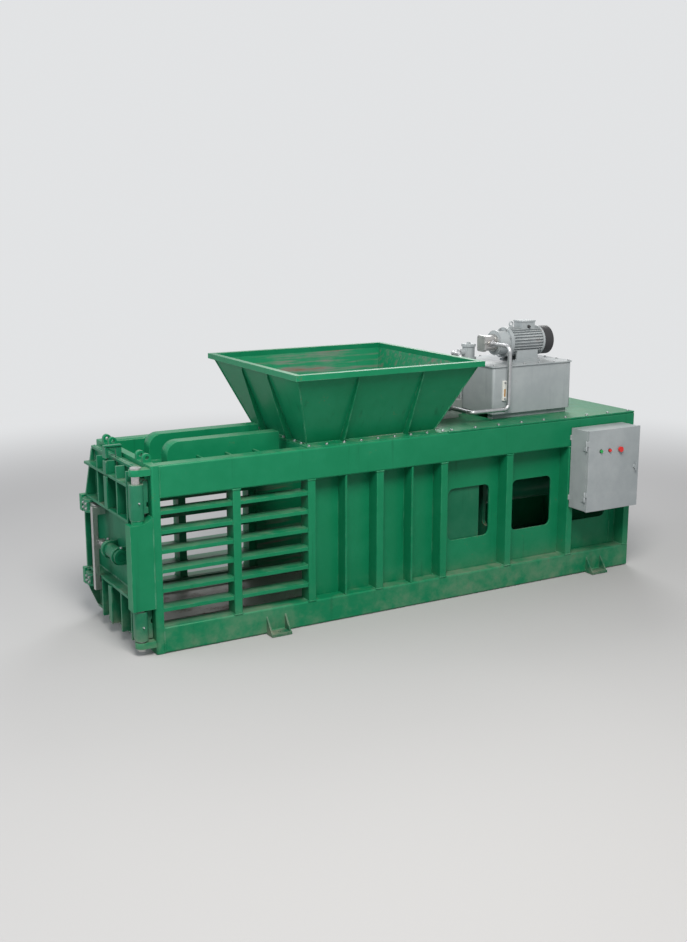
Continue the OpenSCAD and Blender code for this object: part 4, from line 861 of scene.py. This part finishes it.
# %% Bolts of the lock, the cabinet and the level gauge
GUIDE_FACE, LOCK_BACK = 0.150, 0.095
STRAP_Y, STRAP_Z = (0.395, 0.455), 0.018
PORT_IN = 0.013
RAIL_X, RAIL_Y, RAIL_Z = 0.025, 0.010, (0.080, 0.580)
SCREW_Z, SCREW_FLATS = 0.065, 0.014
strap_places = [
    (END - GUIDE_FACE, y, (low.z + high.z) / 2 + z)
    for low, high in solid_boxes("lock_keepers") for y in STRAP_Y for z in (-STRAP_Z, STRAP_Z)
]
bolted("guide_bolts", [(strap_places, FRONT)], M10, "door")
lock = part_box("lock_barrel")
port_places = [(END - LOCK_BACK, y, lock[1].z) for y in (lock[0].y + PORT_IN, lock[1].y - PORT_IN)]
bolted("lock_port_plugs", [(port_places, UP)], M10, "door")

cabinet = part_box("cabinet_box")
rail_places = [
    (cabinet[1].x - RAIL_X, cabinet[1].y - RAIL_Y, cabinet[0].z + z) for z in RAIL_Z
]
bolted("cabinet_rail_bolts", [(rail_places, NEAR)], M12)
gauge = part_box("level_gauge")
gauge_middle = (gauge[0] + gauge[1]) / 2
screw_places = [(gauge_middle.x, gauge[0].y, gauge_middle.z + z) for z in (-SCREW_Z, SCREW_Z)]
bolted("level_gauge_screws", [(screw_places, NEAR)], SCREW_FLATS)
bpy.data.objects.remove(bolt)

# %% [markdown]
# ## Pipe nuts, glands and a lifting eye
#
# A steel pipe ends in a union nut that pulls its cone into the port. Cable glands are threaded into the
# cabinet and the terminal box, and are closed by a plug here. The motor is lifted by a ring on a collar
# between its fins.

# %% Nuts on the pipes
nut = fuse([
    cylinder(0.577, 0.36, (0, 0, 0), vertices=6, soft=0.03),
    cylinder(0.46, 0.08, (0, 0, 0.36), vertices=24, soft=0.02),
])
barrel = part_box("press_barrel")
press_z = (barrel[0].z + barrel[1].z) / 2
nut_spots = [
    ((barrel[0].x + 0.060, 0.140, press_z), FAR),
    ((barrel[1].x - 0.110, 0.140, press_z), FAR),
    ((valve[0].x + 0.070, valve[1].y, line_z), FAR),
    ((valve[0].x + 0.170, valve[1].y, line_z), FAR),
    ((valve[0].x + 0.120, valve[0].y, line_z), NEAR),
    ((valve[1].x, 0.040, line_z), REAR),
    ((pump[0].x + 0.065, shaft.y - 0.062, shaft.z), NEAR),
    ((strainer[0].x, strainer_y, lid_top + 0.060), FRONT),
]
piece("pipe_nuts", copies(nut, nut_spots, 0.050), "frame", zinc_steel)
bpy.data.objects.remove(nut)

# %% Glands, lifting eye and grease nipples
gland = fuse([
    cylinder(0.577, 0.28, (0, 0, 0), vertices=6, soft=0.03),
    cylinder(0.44, 0.50, (0, 0, 0.28), vertices=24, soft=0.12),
    cylinder(0.26, 0.06, (0, 0, 0.78), vertices=24, soft=0.02),
])
gland_spots = [((cabinet[0].x + x, -0.665, cabinet[0].z), DOWN) for x in (0.10, 0.17, 0.24)]
gland_spots.append(((motor[0].x + 0.198, shaft.y - 0.055, shaft.z + 0.122), NEAR))
piece("cable_glands", copies(gland, gland_spots, 0.024), "frame", black_plastic)
bpy.data.objects.remove(gland)

eye = Vector((motor[0].x + 0.060, shaft.y, shaft.z + 0.112))
eye_parts = [cylinder(0.016, 0.014, eye), ring(0.017, 0.0055, eye + Vector((0, 0, 0.033)), NEAR)]
piece("lifting_eye", eye_parts, "frame", unit_enamel)

nipples = []
for low, high in solid_boxes("door_knuckles"):
    base = Vector((END - 0.090, low.y + 0.0005, (low.z + high.z) / 2))
    nipples.append(cylinder(0.0065, 0.006, base, NEAR, 6, 0.0005))
    nipples.append(cylinder(0.0035, 0.013, base, NEAR, 16, 0.0003))
    nipples.append(dome(0.0045, base + Vector((0, -0.014, 0)), NEAR))
piece("grease_nipples", nipples, "door", zinc_steel)

# %% [markdown]
# ## Gauge dial, sight glass and bezels
#
# A pressure gauge reads from about seven o'clock to five o'clock. Its marks are thin bars turned about
# the middle of the dial. The tank's sight glass shows amber oil up to its level, so its colour changes at
# one height.


# %% Turning a mark about the dial
def turned_about_dial(part, angle):
    """Turns the part that was just made about the middle of the dial."""
    bpy.ops.object.transform_apply(location=True, rotation=False, scale=False)
    part.rotation_euler = (0, 0, math.radians(angle))
    return part


# %% The dial
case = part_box("pressure_gauge")
dial = Vector(((case[0].x + case[1].x) / 2, case[0].y, case[1].z - 0.045))
piece("gauge_face", [cylinder(0.0395, 0.001, dial, NEAR, 64, 0.0003)], "frame", dial_white)
marks = []
for i in range(13):
    length = 0.0085 if i % 3 == 0 else 0.0050
    mark = slab((0.0350 - length, -0.0005, 0), (0.0350, 0.0005, 0.0003), 0.0001)
    marks.append(turned_about_dial(mark, 225 - 22.5 * i))
marks.append(turned_about_dial(slab((-0.008, -0.0008, 0.0004), (0.028, 0.0008, 0.0012), 0.0002), 205))
marks.append(cylinder(0.0045, 0.002, (0, 0, 0), UP, 24, 0.0003))
dial_marks = stand(fuse(marks), dial + Vector(NEAR) * 0.0011, NEAR)
piece("gauge_marks", [dial_marks], "frame", black_plastic)
bezel_rings = [ring(0.0418, 0.0028, dial, NEAR), ring(0.0388, 0.0014, dial + Vector(NEAR) * 0.001, NEAR)]
piece("gauge_bezel", bezel_rings, "frame", machined_steel)


# %% Oil behind glass
def oil_behind_glass(level):
    """Amber oil up to a level and pale glass above it, under one glossy coat."""
    shade = Shade("oil_behind_glass")
    cloud = shade.noise(30.0, 2.0)
    oil = shade.mix(cloud, colour(0.36, 0.16, 0.02), colour(0.48, 0.25, 0.05))
    body = shade.mix(shade.step(shade.part("Z"), level - 0.001, level + 0.001), oil, colour(0.60, 0.62, 0.58))
    return shade.surface({"Base Color": body, "Roughness": 0.12, "Coat Weight": 1.0})


# %% The sight glass and the bezels
glass_low = Vector((gauge_middle.x - 0.0085, gauge[0].y + 0.0015, gauge_middle.z - 0.049))
glass_high = Vector((gauge_middle.x + 0.0085, gauge[0].y + 0.0078, gauge_middle.z + 0.049))
sight_finish = oil_behind_glass(gauge_middle.z + 0.014)
piece("sight_glass", [slab(glass_low, glass_high, 0.0015)], "frame", sight_finish)

panel_y = -SIDE - 0.223
bezels = []
for name in ("start_button", "stop_button", "emergency_stop"):
    head = (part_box(name)[0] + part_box(name)[1]) / 2
    bezels.append(ring(0.0142, 0.0022, (head.x, panel_y, head.z), NEAR))
piece("button_bezels", bezels, "cabinet_door", black_plastic)

# %% [markdown]
# ## Floor and light
#
# A studio keeps the machine on a pale floor that fades into a background of the same tone. One large soft
# lamp lights the near side, a weaker one the door and one the far edges, so that each colour shows about
# as it is.

# %% Studio
BACKDROP = colour(0.76, 0.77, 0.78)
bpy.ops.mesh.primitive_plane_add(size=160, location=(0, 0, -0.002))
floor = bpy.context.object
floor.name = "studio_floor"
floor_shade = Shade("studio_floor")
away = floor_shade.add("ShaderNodeVectorMath", {"operation": "LENGTH"}, {0: floor_shade.place}, "Value")
matt = floor_shade.add("ShaderNodeBsdfDiffuse", {}, {"Color": colour(0.42, 0.42, 0.42)})
glow = floor_shade.add("ShaderNodeEmission", {}, {"Color": BACKDROP})
fade = floor_shade.step(away, 4.5, 9.0)
faded_floor = floor_shade.add("ShaderNodeMixShader", {}, {0: fade, 1: matt, 2: glow})
floor_shade.add("ShaderNodeOutputMaterial", {}, {"Surface": faded_floor})
floor.data.materials.append(floor_shade.material)

world = bpy.data.worlds.new("studio")
bpy.context.scene.world = world
world.use_nodes = True
air = world.node_tree
surround = air.nodes["Background"]
surround.inputs["Color"].default_value = colour(0.93, 0.95, 1.0)
surround.inputs["Strength"].default_value = 0.42
backdrop = air.nodes.new("ShaderNodeBackground")
backdrop.inputs["Color"].default_value = BACKDROP
seen = air.nodes.new("ShaderNodeLightPath")
seen_or_mirrored = seen.outputs["Is Camera Ray"]
for ray in ("Is Glossy Ray", "Is Transmission Ray"):
    either = air.nodes.new("ShaderNodeMath")
    either.operation = "MAXIMUM"
    air.links.new(seen_or_mirrored, either.inputs[0])
    air.links.new(seen.outputs[ray], either.inputs[1])
    seen_or_mirrored = either.outputs[0]
choice = air.nodes.new("ShaderNodeMixShader")
air.links.new(seen_or_mirrored, choice.inputs[0])
air.links.new(surround.outputs[0], choice.inputs[1])
air.links.new(backdrop.outputs[0], choice.inputs[2])
air.links.new(choice.outputs[0], air.nodes["World Output"].inputs["Surface"])


def soft_lamp(name, direction, distance, size, power, tone):
    data = bpy.data.lights.new(name, "AREA")
    data.shape = "DISK"
    data.size = size
    data.energy = power
    data.color = tone
    lamp = bpy.data.objects.new(name, data)
    bpy.context.scene.collection.objects.link(lamp)
    return stand(lamp, middle + Vector(direction).normalized() * distance, direction)


soft_lamp("key", (-0.35, -0.80, 0.95), 9.0, 4.0, 900, (1.0, 0.97, 0.93))
soft_lamp("fill", (-1.0, 0.15, 0.45), 9.0, 6.0, 260, (0.93, 0.96, 1.0))
soft_lamp("rim", (0.7, 0.9, 0.8), 10.0, 5.0, 420, (1.0, 1.0, 1.0))
bpy.context.scene.view_settings.view_transform = "Standard"
print(len(bpy.data.lights), "lamps")
